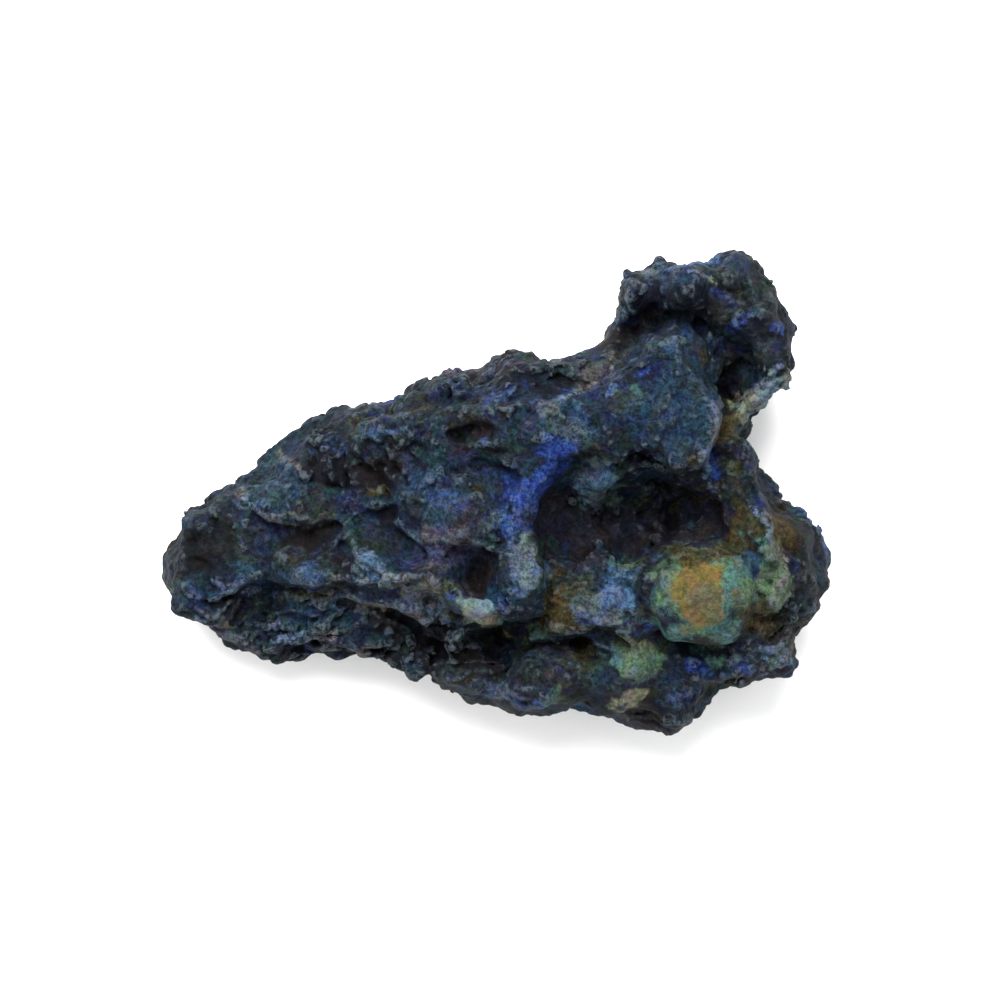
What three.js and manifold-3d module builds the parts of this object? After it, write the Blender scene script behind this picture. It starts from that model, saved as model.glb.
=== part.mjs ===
// A rough azurite and malachite geode: one broken stone with a horn at one end and an open vug in its face.
// Millimetres. The stone lies on its broken back at Z = 0 and its face looks up, along +Z; +X runs along
// its length, from the tapered tip to the vug end, and +Y points to the horn. The origin is under the middle
// of its bounding box.
// The stone is one implicit form: tilted decks, lumps and pits blended together and roughened by noise. It is
// faceted on a regular grid, cut flat where it rests, and fitted to its three overall dimensions.
import * as THREE from "three";
import { ImprovedNoise } from "three/addons/math/ImprovedNoise.js";
import { mergeVertices } from "three/addons/utils/BufferGeometryUtils.js";
import Module from "manifold-3d";

// Driving dimensions
const LENGTH = 101;
const WIDTH = 73;
const HEIGHT = 40;
const CELL = 2.3; // size of the facets

// How far a deck, a lump or a pit blends into what it meets
const DECK_BLEND = 2;
const LUMP_BLEND = 3;
const PIT_BLEND = 1.8;

// The levels below are those of the thick middle. Towards each end the stone thins to a share of them.
const TIP = { share: 0.58, from: 0.02 * LENGTH, to: -0.56 * LENGTH };
const VUG_END = { share: 0.9, from: 0.25 * LENGTH, to: 0.5 * LENGTH };

// Roughness: how deep and how wide its coarse and fine waves are, and how far the forms sway sideways
const COARSE = { depth: 1.3, wave: [10, 8, 7] };
const FINE = { depth: 1, wave: [5, 4.4, 4.5] };
const SWAY = { depth: 1.5, wave: [7, 7, 9] };
const OUTLINE_SWAY = 0.5;
const INSET = 0.6; // how far the forms are drawn in, so that the roughness ends at their outlines

// A deck is a slab with a plan outline. low and top are its levels at its middle point, tilt is how much it
// rises for each millimetre along X and Y, and edge and belly are the radii of its upper and lower edges.
const decks = {
  base: {
    outline: [
      [-50, -11], [-47.5, -16.3], [-42.5, -19.8], [-39.5, -22.5], [-34.5, -24.6], [-25, -24.2], [-20.5, -23],
      [-12, -26], [-4.5, -30.2], [-0.5, -30], [5.5, -33.2], [9.5, -31.8], [16, -31.4], [22, -34.4], [29, -36.2],
      [31.4, -33], [34, -30.2], [44, -27.6], [45.8, -22.5], [49.7, -15.5], [49.2, -7], [44.5, -2], [41, 3],
      [38.8, 9], [36, 15], [26, 20], [15, 21], [8.5, 19.4], [5.5, 21], [1.5, 20.2], [-4.5, 18.1], [-8, 17.8],
      [-13.5, 14.4], [-18.5, 12.4], [-24.5, 11.8], [-29, 9], [-31.8, 6.3], [-36, 3], [-41, 0.8], [-43.6, -2.4],
      [-46.4, -4.8], [-48.4, -8],
    ],
    low: -1.2, top: 22, edge: 7, belly: 15,
  },
  face: {
    outline: [
      [-47, -10], [-44, -14.5], [-38, -14], [-29, -13.4], [-20, -16], [-10, -18.5], [-4, -20], [4, -20],
      [16, -20], [26, -21], [38, -20], [42, -16], [43, -10], [41, -4], [38, 3], [36.5, 9], [34, 14], [22, 17],
      [10, 14.6], [2, 13.8], [-9, 13.4], [-17, 11], [-24, 9], [-31, 4.8], [-37, 0.5], [-42, -3], [-45, -6],
    ],
    low: 8, top: 28, tilt: [0, 0], edge: 4, belly: 6,
  },
  upperFace: {
    outline: [
      [-24.3, 9.3], [-16.8, 11.6], [-9.3, 14.1], [1.2, 14.8], [7.2, 14.3], [14, 16.6], [19.2, 18.6], [24, 12],
      [18, 5], [10.2, 5.9], [4.2, 3.4], [-1.8, 4.8], [-7.8, 4.4], [-13.8, 6.2], [-21.3, 7.2],
    ],
    low: 18, top: 31, middle: [0, 9], tilt: [0.1, 0.02], edge: 2.2, belly: 4,
  },
  tip: {
    outline: [
      [-50.1, -9.9], [-49, -14.4], [-47.5, -16.8], [-43.8, -17.9], [-41.5, -18.3], [-39.9, -16.5],
      [-37.8, -15.5], [-33.6, -13.8], [-34.5, -10], [-36.8, -5], [-41, -1], [-44.5, -3.6], [-48, -7.7],
    ],
    low: 9, top: 30, middle: [-42, -10], tilt: [0.12, -0.05], edge: 4, belly: 6,
  },
  knob: {
    outline: [
      [-38, -1], [-38.2, -3.8], [-33.6, -4.4], [-28, -4.3], [-25, -3.8], [-26, -0.6], [-28.6, 3.2],
      [-31.6, 5.6], [-34, 4], [-36.2, 1.5],
    ],
    low: 20, top: 31.6, middle: [-31, 0], tilt: [0, -0.05], edge: 3, belly: 2,
  },
  shoulder: {
    outline: [
      [-34.5, -8.1], [-33.3, -12.2], [-31.4, -13.4], [-24.3, -14.1], [-18.3, -14.6], [-16.1, -13.5],
      [-12.3, -13.7], [-11.1, -11.4], [-13.8, -7.7], [-18.3, -6.2], [-22.8, -6.3], [-28.8, -7.7],
    ],
    low: 18, top: 31.5, middle: [-22, -11], tilt: [0, -0.3], edge: 1.6, belly: 2,
  },
  lowLip: {
    outline: [
      [-23.6, -14.4], [-23.1, -16.5], [-19.8, -18], [-16.1, -18], [-13.1, -18.3], [-10.1, -20.3], [-7.1, -22.8],
      [-5.1, -24.6], [-3.2, -22.5], [-5, -17.7], [-10.1, -15.6], [-13.8, -13.6], [-19.1, -13.2],
    ],
    low: 17, top: 27.5, middle: [-14, -18], tilt: [0.05, -0.25], edge: 1.6, belly: 2,
  },
  boss: {
    outline: [
      [-15, 0.6], [-15, -2.7], [-13.5, -5.4], [-10.1, -7.2], [-5.6, -8.7], [-1.1, -9.3], [2, -7.7], [3, -3.9],
      [1.2, 1.4], [-3.3, 4.4], [-9.3, 4.6], [-13.1, 3.2],
    ],
    low: 18, top: 32.6, middle: [-6, -2], tilt: [0.05, -0.08], edge: 3, belly: 2,
  },
  ledge: {
    outline: [
      [-11.1, -14.4], [-7.8, -16.1], [-5.4, -16.8], [-3.3, -19.1], [-1.8, -20], [1.2, -19.7], [2.4, -20.6],
      [3.6, -15.9], [1.2, -11.4], [-3.3, -10.7], [-7.8, -11.1], [-10.8, -12.2],
    ],
    low: 16, top: 30.4, middle: [-3, -16], tilt: [0.06, -0.15], edge: 1.6, belly: 2,
  },
  tongue: {
    outline: [
      [1.2, -9.2], [1.7, -15.9], [3, -18.2], [5.7, -18.9], [7.7, -17.6], [8.4, -14.4], [8, -9.9], [5.7, -7.2],
      [3, -7.2],
    ],
    low: 16, top: 33, middle: [5, -13], tilt: [0, -0.06], edge: 2.4, belly: 2,
  },
  rib: {
    outline: [
      [8, 6.6], [5.7, 3.6], [3, -0.1], [1.7, -4.6], [1.7, -9.2], [4.2, -10.2], [6.5, -9.2], [6.6, -3.9],
      [8, -0.1], [10.5, 3.6], [12.8, 5.9], [11, 8.1],
    ],
    low: 16, top: 34, middle: [5, -2], tilt: [0, 0.05], edge: 2.6, belly: 2,
  },
  foot: {
    // the low blocks below the vug
    outline: [
      [3, -21.5], [2.4, -27], [3.4, -31.5], [8, -31.6], [15, -30.8], [22, -33], [28.5, -34.5], [31.4, -31],
      [34, -28.6], [43.5, -26.5], [45, -21], [47, -14], [42, -12], [34, -20], [20, -21], [12, -21],
    ],
    low: 5, top: 23, middle: [20, -26], tilt: [0.03, 0.22], edge: 2.6, belly: 5,
  },
  horn: {
    outline: [
      [15.5, 20.5], [17.5, 26], [19.6, 30.6], [21.1, 33.2], [23.6, 32.6], [25.2, 34.4], [30.2, 34.2],
      [31.6, 33.4], [33.4, 35.6], [36.2, 36.2], [39, 34.6], [40.6, 31], [43.8, 28.6], [45, 26], [43.8, 23.6],
      [45.8, 20], [43.8, 17], [41.2, 13.6], [38.6, 11.6], [36, 6], [24, 6], [16, 14],
    ],
    low: 9, top: 28, middle: [30, 26], tilt: [-0.04, -0.1], edge: 4.6, belly: 8,
  },
  plate: {
    outline: [
      [13.5, 8], [14.8, 15.5], [18.5, 18.8], [22.5, 21.2], [25, 24.4], [29.5, 25.4], [32, 22.6], [33, 18.4],
      [34.9, 14.6], [34.9, 10.8], [33.4, 7], [29.8, 4], [24, 5], [18, 4.2],
    ],
    low: 20, top: 37.4, middle: [25, 13], tilt: [0.16, -0.04], edge: 2.6, belly: 3,
  },
};

// Lumps and pits: centre, half sizes and turn about Z in degrees.
const lumps = [
  // face
  { at: [-44.5, -9, 26], half: [4, 5, 5.5], turn: 20 },
  { at: [-36.5, -7, 26], half: [4.5, 3, 5], turn: 0 },
  { at: [-20, -9.6, 29], half: [5, 2.6, 4.4], turn: -34 },
  { at: [-10.4, -11.6, 27.6], half: [4, 2.6, 4], turn: 0 },
  { at: [-15, 9, 28.5], half: [6, 3.4, 4.4], turn: 14 },
  { at: [2.6, 11.4, 29.6], half: [5, 3, 4], turn: 0 },
  { at: [10.6, 9.6, 31], half: [4.6, 4, 4], turn: 20 },
  { at: [19, 13, 33], half: [4, 4.6, 4.6], turn: 20 },
  // upper flank
  { at: [3.6, 17.2, 22], half: [5.4, 4, 8], turn: 6 },
  { at: [-7.8, 14.6, 21], half: [5, 3.6, 8], turn: 20 },
  { at: [-23, 9.8, 20], half: [5, 3.2, 7], turn: 18 },
  { at: [12.8, 17.4, 22], half: [4.6, 3.6, 8], turn: 8 },
  // lower flank
  { at: [-4.2, -26.6, 17], half: [4.6, 4, 6], turn: -30 },
  { at: [-14, -22.6, 17], half: [5.4, 3.4, 6], turn: -18 },
  { at: [-25, -21.4, 17], half: [6, 3.2, 6], turn: 0 },
  { at: [-35, -21, 17], half: [5, 3.2, 6], turn: -20 },
  { at: [-29, -17, 21], half: [6, 2.6, 4], turn: -24 },
  // raised block beside the cleft
  { at: [7, -26.5, 22.5], half: [4.6, 4.8, 4], turn: 0 },
  // vug floor and its nodules
  { at: [11.4, -15.4, 25], half: [3.4, 5.6, 5], turn: 0 },
  { at: [19.4, -16.6, 26.5], half: [4.6, 5.4, 5], turn: -10 },
  { at: [32.3, -14.3, 27.6], half: [7.6, 7, 6.6], turn: 12 }, // pale nodule
  { at: [17.6, 2.6, 25], half: [5, 3.2, 5], turn: 0 },
  { at: [22, -22.2, 23], half: [3.6, 2.6, 4], turn: 0 },
  { at: [23.4, -26.2, 21], half: [4, 2.7, 4], turn: 12 },
  { at: [20.8, -30.2, 18.5], half: [4, 2, 4], turn: 0 },
  // vug end
  { at: [41.6, -7.4, 27.6], half: [3.6, 8.6, 6.4], turn: 12 },
  { at: [46.4, -9.4, 20], half: [4.4, 7, 8], turn: 12 },
  { at: [40, -24.4, 21], half: [6, 2.8, 4], turn: 10 },
  { at: [37, 6, 27], half: [2.6, 7, 5], turn: 4 },
  // horn
  { at: [28.6, 30, 28.5], half: [4.4, 5, 8], turn: 0 },
  { at: [36.2, 32, 26], half: [4.4, 4.6, 8], turn: 0 },
  { at: [21.6, 29, 26], half: [2.4, 4.6, 6], turn: -14 },
  { at: [41.2, 26.6, 26], half: [4, 4.4, 8], turn: 20 },
  { at: [34.6, 25.4, 29], half: [2.8, 3, 4.5], turn: 10 },
  { at: [42.4, 18.8, 24.6], half: [3, 4.6, 6], turn: -20 },
];
const pits = [
  // vug
  { at: [11.4, -3.9, 30], half: [5.1, 7.2, 12.5], turn: 0 },
  { at: [20.6, -4.6, 30], half: [8, 6, 14.5], turn: 0 },
  { at: [30, -3.4, 30], half: [6.6, 5.8, 13.5], turn: 8 },
  // holes and hollows of the face
  { at: [-2.5, 9.6, 35], half: [3, 2, 6.5], turn: 8 },
  { at: [-1.8, -11.9, 33], half: [1.9, 3.4, 6.5], turn: 6 },
  { at: [-22, 3.6, 32], half: [6.6, 4, 4], turn: 0 },
  { at: [-29, -6.6, 31.5], half: [6.2, 2.2, 3.4], turn: 0 },
  { at: [1, -24.4, 24], half: [1.8, 4.4, 8.5], turn: 2 }, // cleft below the ledge
  { at: [-9.6, -21, 22.5], half: [5.4, 1.6, 3.6], turn: -38 },
  { at: [-35.5, -17, 24], half: [4.5, 1.6, 5], turn: 18 },
  // horn
  { at: [36.6, 19.6, 29], half: [3, 4.6, 8], turn: 6 },
  { at: [20.6, 24.4, 29], half: [3.8, 2.8, 5.6], turn: 30 },
  { at: [24, 28.6, 29], half: [1.8, 4.6, 5.6], turn: -10 },
  { at: [28.6, 25.6, 29], half: [4, 1, 3.4], turn: -6 },
  // bays below the nodules
  { at: [31, -23, 27], half: [7.6, 2, 5.4], turn: 4 },
  { at: [13.5, -23, 26], half: [6, 1.7, 5], turn: 0 },
];

const rad = THREE.MathUtils.degToRad;
const smoothstep = THREE.MathUtils.smoothstep;
const perlin = new ImprovedNoise();

// A wave of noise between about -depth and depth; seed picks another pattern.
const waves = ({ depth, wave }, x, y, z, seed = 0) =>
  depth * perlin.noise(x / wave[0] + seed, y / wave[1], z / wave[2]);

function thickness(x) {
  const thinned = ({ share, from, to }) => 1 - (1 - share) * smoothstep((x - from) / (to - from), 0, 1);
  return thinned(TIP) * thinned(VUG_END);
}

function smoothUnion(a, b, k) {
  const h = Math.max(k - Math.abs(a - b), 0) / k;
  return Math.min(a, b) - (h * h * k) / 4;
}

const smoothCut = (a, b, k) => -smoothUnion(-a, b, k);

// Signed distance in plan to a closed outline, negative inside.
function planDistance(points, x, y) {
  let nearest = Infinity;
  let inside = false;
  for (let i = 0, j = points.length - 1; i < points.length; j = i++) {
    const a = points[j];
    const b = points[i];
    const ex = b.x - a.x;
    const ey = b.y - a.y;
    const px = x - a.x;
    const py = y - a.y;
    const t = Math.min(Math.max((px * ex + py * ey) / (ex * ex + ey * ey), 0), 1);
    nearest = Math.min(nearest, Math.hypot(px - t * ex, py - t * ey));
    if (a.y > y !== b.y > y && x < (ex * (y - a.y)) / ey + a.x) inside = !inside;
  }
  return inside ? -nearest : nearest;
}

const STEPS_PER_CORNER = 3;
for (const deck of Object.values(decks)) {
  const corners = deck.outline.map(([x, y]) => new THREE.Vector3(x, y, 0));
  const curve = new THREE.CatmullRomCurve3(corners, true);
  deck.curve = curve.getPoints(corners.length * STEPS_PER_CORNER).slice(1);
}

// A deck's edges are quarter ovals, of this height for each millimetre of belly below its waist.
const BELLY_HEIGHT = 0.7;

function deckDistance({ curve, low, top, edge, belly, middle = [0, 0], tilt = [0, 0] }, x, y, z) {
  const tallest = (top - low) / 2;
  const over = z > low + tallest;
  const radius = over ? edge : belly;
  const height = Math.min(over ? edge : belly * BELLY_HEIGHT, tallest);
  const rise = tilt[0] * (x - middle[0]) + tilt[1] * (y - middle[1]);
  const inward = planDistance(curve, x, y) + radius;
  const upward = ((over ? z - top - rise : low - z) + height) * (radius / height);
  const corner = Math.hypot(Math.max(inward, 0), Math.max(upward, 0));
  return (Math.min(Math.max(inward, upward), 0) + corner - radius) * Math.min(1, height / radius);
}

function ovalDistance({ at, half, turn }, x, y, z) {
  const c = Math.cos(rad(turn));
  const s = Math.sin(rad(turn));
  const dx = x - at[0];
  const dy = y - at[1];
  const u = (c * dx + s * dy) / half[0];
  const v = (c * dy - s * dx) / half[1];
  const w = (z - at[2]) / half[2];
  const near = Math.hypot(u, v, w);
  const slope = Math.hypot(u / half[0], v / half[1], w / half[2]);
  return slope < 1e-9 ? -Math.min(...half) : (near * (near - 1)) / slope;
}

// The stone's signed distance, negative inside.
function stone(x, y, zReal) {
  const z = zReal / thickness(x);
  const swayX = waves(SWAY, x, y, z);
  const swayY = waves(SWAY, x, y, z, 31);
  let d = Infinity;
  for (const deck of Object.values(decks)) {
    d = smoothUnion(d, deckDistance(deck, x + (swayX * OUTLINE_SWAY) / SWAY.depth, y, z), DECK_BLEND);
  }
  for (const lump of lumps) d = smoothUnion(d, ovalDistance(lump, x + swayX, y + swayY, z), LUMP_BLEND);
  for (const pit of pits) d = smoothCut(d, ovalDistance(pit, x + swayX, y + swayY, z), PIT_BLEND);
  return d + INSET + waves(COARSE, x, y, z, 5) + waves(FINE, x, y, z, 7);
}

// The eight corners of a grid cell, in the order of the bits of its mask
const CORNERS = [0, 1, 2, 3, 4, 5, 6, 7].map((c) => [c & 1, (c >> 1) & 1, c >> 2]);
const FILL = 0.02; // depth, in cells, of a grid point that is filled
const PROBE = 0.05; // step, in cells, over which the field's slope is taken
const REACH = 0.45; // how far, in cells, a corner may move without crossing its neighbours
const SETTLING_ROUNDS = 3;

// The field's values at the points of a regular grid
function sampled(field, low, high, cell) {
  const [nx, ny, nz] = low.map((v, axis) => Math.ceil((high[axis] - v) / cell) + 1);
  const at = (i, j, k) => i + nx * (j + ny * k);
  const value = new Float32Array(nx * ny * nz);
  for (let k = 0; k < nz; k++)
    for (let j = 0; j < ny; j++)
      for (let i = 0; i < nx; i++) {
        value[at(i, j, k)] = field(low[0] + i * cell, low[1] + j * cell, low[2] + k * cell);
      }

  function eachCell(visit, first = 0) {
    for (let k = first; k < nz - 1; k++)
      for (let j = first; j < ny - 1; j++) for (let i = first; i < nx - 1; i++) visit(i, j, k);
  }
  return { field, low, cell, at, value, eachCell, step: [1, nx, nx * ny] };
}

// Fills the cells that the surface would cross twice, so that the result is one clean skin.
function fillDoubleCells({ at, value, eachCell, cell }) {
  const simple = Array.from({ length: 256 }, (_, mask) => isSimple(mask));
  let changed = true;
  while (changed) {
    changed = false;
    eachCell((i, j, k) => {
      const nodes = CORNERS.map(([a, b, c]) => at(i + a, j + b, k + c));
      const mask = nodes.reduce((m, n, bit) => m | ((value[n] < 0) << bit), 0);
      if (simple[mask]) return;
      const empty = nodes.filter((n) => value[n] >= 0);
      const nearest = empty.reduce((a, b) => (value[a] < value[b] ? a : b));
      value[nearest] = -FILL * cell;
      changed = true;
    });
  }
}

// The mean point where the surface crosses the edges of a cell, in cells from its first corner, or null
function crossing({ at, value }, i, j, k) {
  const sum = [0, 0, 0];
  let hits = 0;
  for (const a of CORNERS)
    for (let axis = 0; axis < 3; axis++) {
      if (a[axis]) continue;
      const b = a.map((v, n) => (n === axis ? 1 : v));
      const va = value[at(i + a[0], j + a[1], k + a[2])];
      const vb = value[at(i + b[0], j + b[1], k + b[2])];
      if (va < 0 === vb < 0) continue;
      a.forEach((v, n) => (sum[n] += v + (n === axis ? va / (va - vb) : 0)));
      hits++;
    }
  return hits ? sum.map((v) => v / hits) : null;
}

// Moves a corner onto the surface along the field's slope.
function settled(field, start, cell) {
  const point = [...start];
  const h = PROBE * cell;
  for (let round = 0; round < SETTLING_ROUNDS; round++) {
    const [x, y, z] = point;
    const d = field(x, y, z);
    const slope = [field(x + h, y, z) - d, field(x, y + h, z) - d, field(x, y, z + h) - d].map((v) => v / h);
    const steepness = slope.reduce((s, v) => s + v * v, 1e-6);
    slope.forEach((v, n) => (point[n] -= (d * v) / steepness));
  }
  const reach = REACH * cell;
  return point.map((v, n) => THREE.MathUtils.clamp(v, start[n] - reach, start[n] + reach));
}

// Facets a field: one corner in each grid cell that the surface crosses, and one quad round each grid edge
// that it crosses.
function faceted(grid) {
  const { field, low, cell, at, value, eachCell, step } = grid;
  fillDoubleCells(grid);

  const cornerOf = new Map();
  const positions = [];
  eachCell((i, j, k) => {
    const mean = crossing(grid, i, j, k);
    if (!mean) return;
    cornerOf.set(at(i, j, k), positions.length / 3);
    const start = [i, j, k].map((v, axis) => low[axis] + (v + mean[axis]) * cell);
    positions.push(...settled(field, start, cell));
  });

  const index = [];
  eachCell((i, j, k) => {
    const here = at(i, j, k);
    const inside = value[here] < 0;
    for (let axis = 0; axis < 3; axis++) {
      if (inside === value[here + step[axis]] < 0) continue;
      const u = step[(axis + 1) % 3];
      const v = step[(axis + 2) % 3];
      const quad = [here, here - u, here - u - v, here - v].map((n) => cornerOf.get(n));
      if (!inside) quad.reverse();
      index.push(quad[0], quad[1], quad[2], quad[0], quad[2], quad[3]);
    }
  }, 1);

  const geometry = new THREE.BufferGeometry();
  geometry.setAttribute("position", new THREE.Float32BufferAttribute(positions, 3));
  geometry.setIndex(index);
  return geometry;
}

// Whether the surface crosses a cell once: no side is chequered, and the filled corners and the empty corners
// are each connected.
function isSimple(mask) {
  for (const bit of [1, 2, 4])
    for (const side of [0, bit]) {
      const [a, b] = [1, 2, 4].filter((n) => n !== bit);
      const on = [side, side + a, side + b, side + a + b].map((n) => (mask >> n) & 1);
      if (on[0] === on[3] && on[1] === on[2] && on[0] !== on[1]) return false;
    }
  return [mask, 255 - mask].every((set) => {
    if (!set) return true;
    let grown = set & -set;
    for (let n = 0; n < 8; n++)
      for (let c = 0; c < 8; c++)
        if ((grown >> c) & 1) for (const bit of [1, 2, 4]) grown |= set & (1 << (c ^ bit));
    return grown === set;
  });
}

const wasm = await Module();
wasm.setup();

function solidOf(geometry) {
  const vertProperties = new Float32Array(geometry.attributes.position.array);
  const triVerts = new Uint32Array(geometry.index.array);
  return new wasm.Manifold(new wasm.Mesh({ numProp: 3, vertProperties, triVerts }));
}

function geometryOf(solid) {
  const mesh = solid.getMesh();
  const geometry = new THREE.BufferGeometry();
  geometry.setAttribute("position", new THREE.BufferAttribute(mesh.vertProperties, 3));
  geometry.setIndex(new THREE.BufferAttribute(mesh.triVerts, 1));
  geometry.computeVertexNormals();
  return geometry;
}

// Scales a resting geometry to the overall dimensions and centres it over the origin.
function fitted(geometry) {
  geometry.computeBoundingBox();
  const size = geometry.boundingBox.getSize(new THREE.Vector3());
  const middle = geometry.boundingBox.getCenter(new THREE.Vector3());
  geometry.translate(-middle.x, -middle.y, 0);
  geometry.scale(LENGTH / size.x, WIDTH / size.y, HEIGHT / size.z);
  return geometry;
}

const margin = 3 * CELL;
const gridLow = [-LENGTH / 2 - margin, -WIDTH / 2 - margin, -margin];
const gridHigh = [LENGTH / 2 + margin, WIDTH / 2 + margin, HEIGHT + margin];
const rough = faceted(sampled(stone, gridLow, gridHigh, CELL));
const overTable = new THREE.BoxGeometry(2 * LENGTH, 2 * WIDTH, 2 * HEIGHT).translate(0, 0, HEIGHT);
overTable.deleteAttribute("normal");
overTable.deleteAttribute("uv");
const resting = solidOf(rough).intersect(solidOf(mergeVertices(overTable)));

const geode = new THREE.Mesh(
  fitted(geometryOf(resting)),
  new THREE.MeshStandardMaterial({ color: 0x2c3a4c, roughness: 0.85, metalness: 0 }),
);
geode.name = "geode";

const part = new THREE.Group();
part.add(geode);
export default part;
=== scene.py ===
"""A rough azurite and malachite geode on a pale floor, seen from above.

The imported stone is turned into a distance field, its facets are rounded off, and lips, grooves, pits and
crusts are carved into the field. The mesh made from it stands for the stone. Lengths are millimetres of the
stone's own frame until a mesh is made from them, and the room is in metres.
"""
import math

import bpy
import numpy as np
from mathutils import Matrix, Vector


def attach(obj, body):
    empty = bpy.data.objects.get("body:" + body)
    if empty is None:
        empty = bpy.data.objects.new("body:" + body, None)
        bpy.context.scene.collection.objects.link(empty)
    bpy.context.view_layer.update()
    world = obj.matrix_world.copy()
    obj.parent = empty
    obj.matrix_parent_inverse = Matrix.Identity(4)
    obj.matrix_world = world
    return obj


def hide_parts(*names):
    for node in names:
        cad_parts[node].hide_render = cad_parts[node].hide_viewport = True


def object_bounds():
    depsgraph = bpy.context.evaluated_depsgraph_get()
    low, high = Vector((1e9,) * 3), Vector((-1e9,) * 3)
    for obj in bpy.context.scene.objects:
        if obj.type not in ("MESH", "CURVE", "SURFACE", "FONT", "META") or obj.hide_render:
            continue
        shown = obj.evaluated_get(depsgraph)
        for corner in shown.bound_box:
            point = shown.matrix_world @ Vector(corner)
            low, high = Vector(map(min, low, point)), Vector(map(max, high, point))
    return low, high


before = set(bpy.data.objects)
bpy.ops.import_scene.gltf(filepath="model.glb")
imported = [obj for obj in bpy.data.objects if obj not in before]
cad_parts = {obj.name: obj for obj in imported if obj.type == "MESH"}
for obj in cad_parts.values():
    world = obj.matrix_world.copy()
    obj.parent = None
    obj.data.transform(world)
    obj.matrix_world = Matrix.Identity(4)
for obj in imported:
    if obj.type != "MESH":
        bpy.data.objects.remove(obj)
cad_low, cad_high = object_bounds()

import openvdb
from mathutils import Vector

STONE_LENGTH = 101.0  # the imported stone's length along X
MM = (cad_high.x - cad_low.x) / STONE_LENGTH  # one millimetre of the stone in metres
LOW = np.array(cad_low) / MM
HIGH = np.array(cad_high) / MM

# The grid of the distance field
CELL = 0.3  # spacing of its points
MARGIN = 3.0  # room round the stone
BAND = 5.0  # how far from the surface distances are known
FACET_BLUR = 0.7  # radius of the blur that rounds the facets off
BLUR_REACH = 2.6  # how many radii a blur is followed outwards
MOST_NOISE = 1.8  # noise is cut off above this and below minus this
SPREAD_STEP = 3  # the spread of a noise is measured on every third point along X and Y
SPLINE_ROOM = 5  # lattice points that a spline has beyond the grid's length
MOST_TRIANGLES = 196000

FIRST = np.floor((LOW - MARGIN) / CELL).astype(int)
SHAPE = tuple(int(n) for n in np.ceil((HIGH + MARGIN) / CELL).astype(int) - FIRST + 1)
AXES = [(FIRST[n] + np.arange(SHAPE[n])) * CELL for n in range(3)]
X, Y = np.meshgrid(AXES[0], AXES[1], indexing="ij")
Z = AXES[2]

# --------------------
# Fields on the grid


def smoothstep(low, high, value):
    t = np.clip((value - low) / (high - low), 0, 1)
    return t * t * (3 - 2 * t)


def bell(distance, reach):
    return np.exp(-((distance / reach) ** 2))


def noise(spacing, seed, shape=SHAPE):
    """Smooth noise of about unit spread whose lumps are so far apart."""
    counts = [int(n * CELL / spacing) + SPLINE_ROOM for n in shape]
    field = np.random.default_rng(seed).standard_normal(counts).astype(np.float32)
    for axis, count in enumerate(shape):
        field = stretched(field, axis, count, spacing)
    spread = field[::SPREAD_STEP, ::SPREAD_STEP].std()
    return np.clip(field / spread, -MOST_NOISE, MOST_NOISE, out=field)


def stretched(lattice, axis, count, spacing):
    """A lattice drawn out along one axis to the grid's points by a smooth spline."""
    place = np.arange(count) * CELL / spacing
    first = np.floor(place).astype(int)
    t = np.float32(place - first)
    weights = ((1 - t) ** 3, 3 * t**3 - 6 * t**2 + 4, -3 * t**3 + 3 * t**2 + 3 * t + 1, t**3)
    side = [-1 if n == axis else 1 for n in range(lattice.ndim)]
    made = 0
    for n, weight in enumerate(weights):
        made = made + np.take(lattice, first + n, axis=axis) * (weight / 6).reshape(side)
    return made


def blurred(field, radius):
    """The field blurred by a bell of the given radius in millimetres."""
    reach = int(math.ceil(BLUR_REACH * radius / CELL))
    taps = np.exp(-0.5 * (np.arange(-reach, reach + 1) * CELL / radius) ** 2)
    taps = np.float32(taps / taps.sum())
    for axis in range(field.ndim):
        room = [(reach, reach) if n == axis else (0, 0) for n in range(field.ndim)]
        padded = np.pad(field, room, mode="edge")
        padded = np.moveaxis(padded, axis, 0)
        made = np.zeros((field.shape[axis], *padded.shape[1:]), np.float32)
        for n, tap in enumerate(taps):
            made += tap * padded[n : n + len(made)]
        field = np.moveaxis(made, 0, axis)
    return np.ascontiguousarray(field)


def sampled(field, points, step=1):
    """The values at points of a field that has every step-th point of the grid."""
    # The last place stays just inside the grid, so that it has a far corner
    place = np.clip((points / CELL - FIRST) / step, 0, np.array(field.shape) - 1.001)
    base = place.astype(int)
    t = np.float32(place - base)
    result = np.zeros(len(points), np.float32)
    for corner in range(8):
        far = [(corner >> n) & 1 for n in range(3)]
        weight = np.prod([t[:, n] if far[n] else 1 - t[:, n] for n in range(3)], axis=0)
        result += weight * field[tuple(base[:, n] + far[n] for n in range(3))]
    return result


def packed_stone():
    """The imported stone's distance field, negative inside, with its facets rounded off."""
    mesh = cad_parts["geode"].data
    points = np.empty(len(mesh.vertices) * 3, np.float32)
    mesh.vertices.foreach_get("co", points)
    mesh.calc_loop_triangles()
    triangles = np.empty(len(mesh.loop_triangles) * 3, np.int32)
    mesh.loop_triangles.foreach_get("vertices", triangles)
    grid = openvdb.FloatGrid.createLevelSetFromPolygons(
        points.reshape(-1, 3) / np.float32(MM),
        triangles=triangles.reshape(-1, 3).astype(np.uint32),
        transform=openvdb.createLinearTransform(CELL),
        halfWidth=BAND / CELL,
    )
    values = np.empty(SHAPE, np.float32)
    grid.copyToArray(values, ijk=tuple(int(n) for n in FIRST))
    return blurred(values, FACET_BLUR)


def top_of(field):
    """The height of the highest point of the stone over each point of the floor."""
    inside = field < 0
    highest = SHAPE[2] - 1 - np.argmax(inside[:, :, ::-1], axis=2)
    return np.float32(np.where(inside.any(axis=2), Z[highest], 0))


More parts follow.
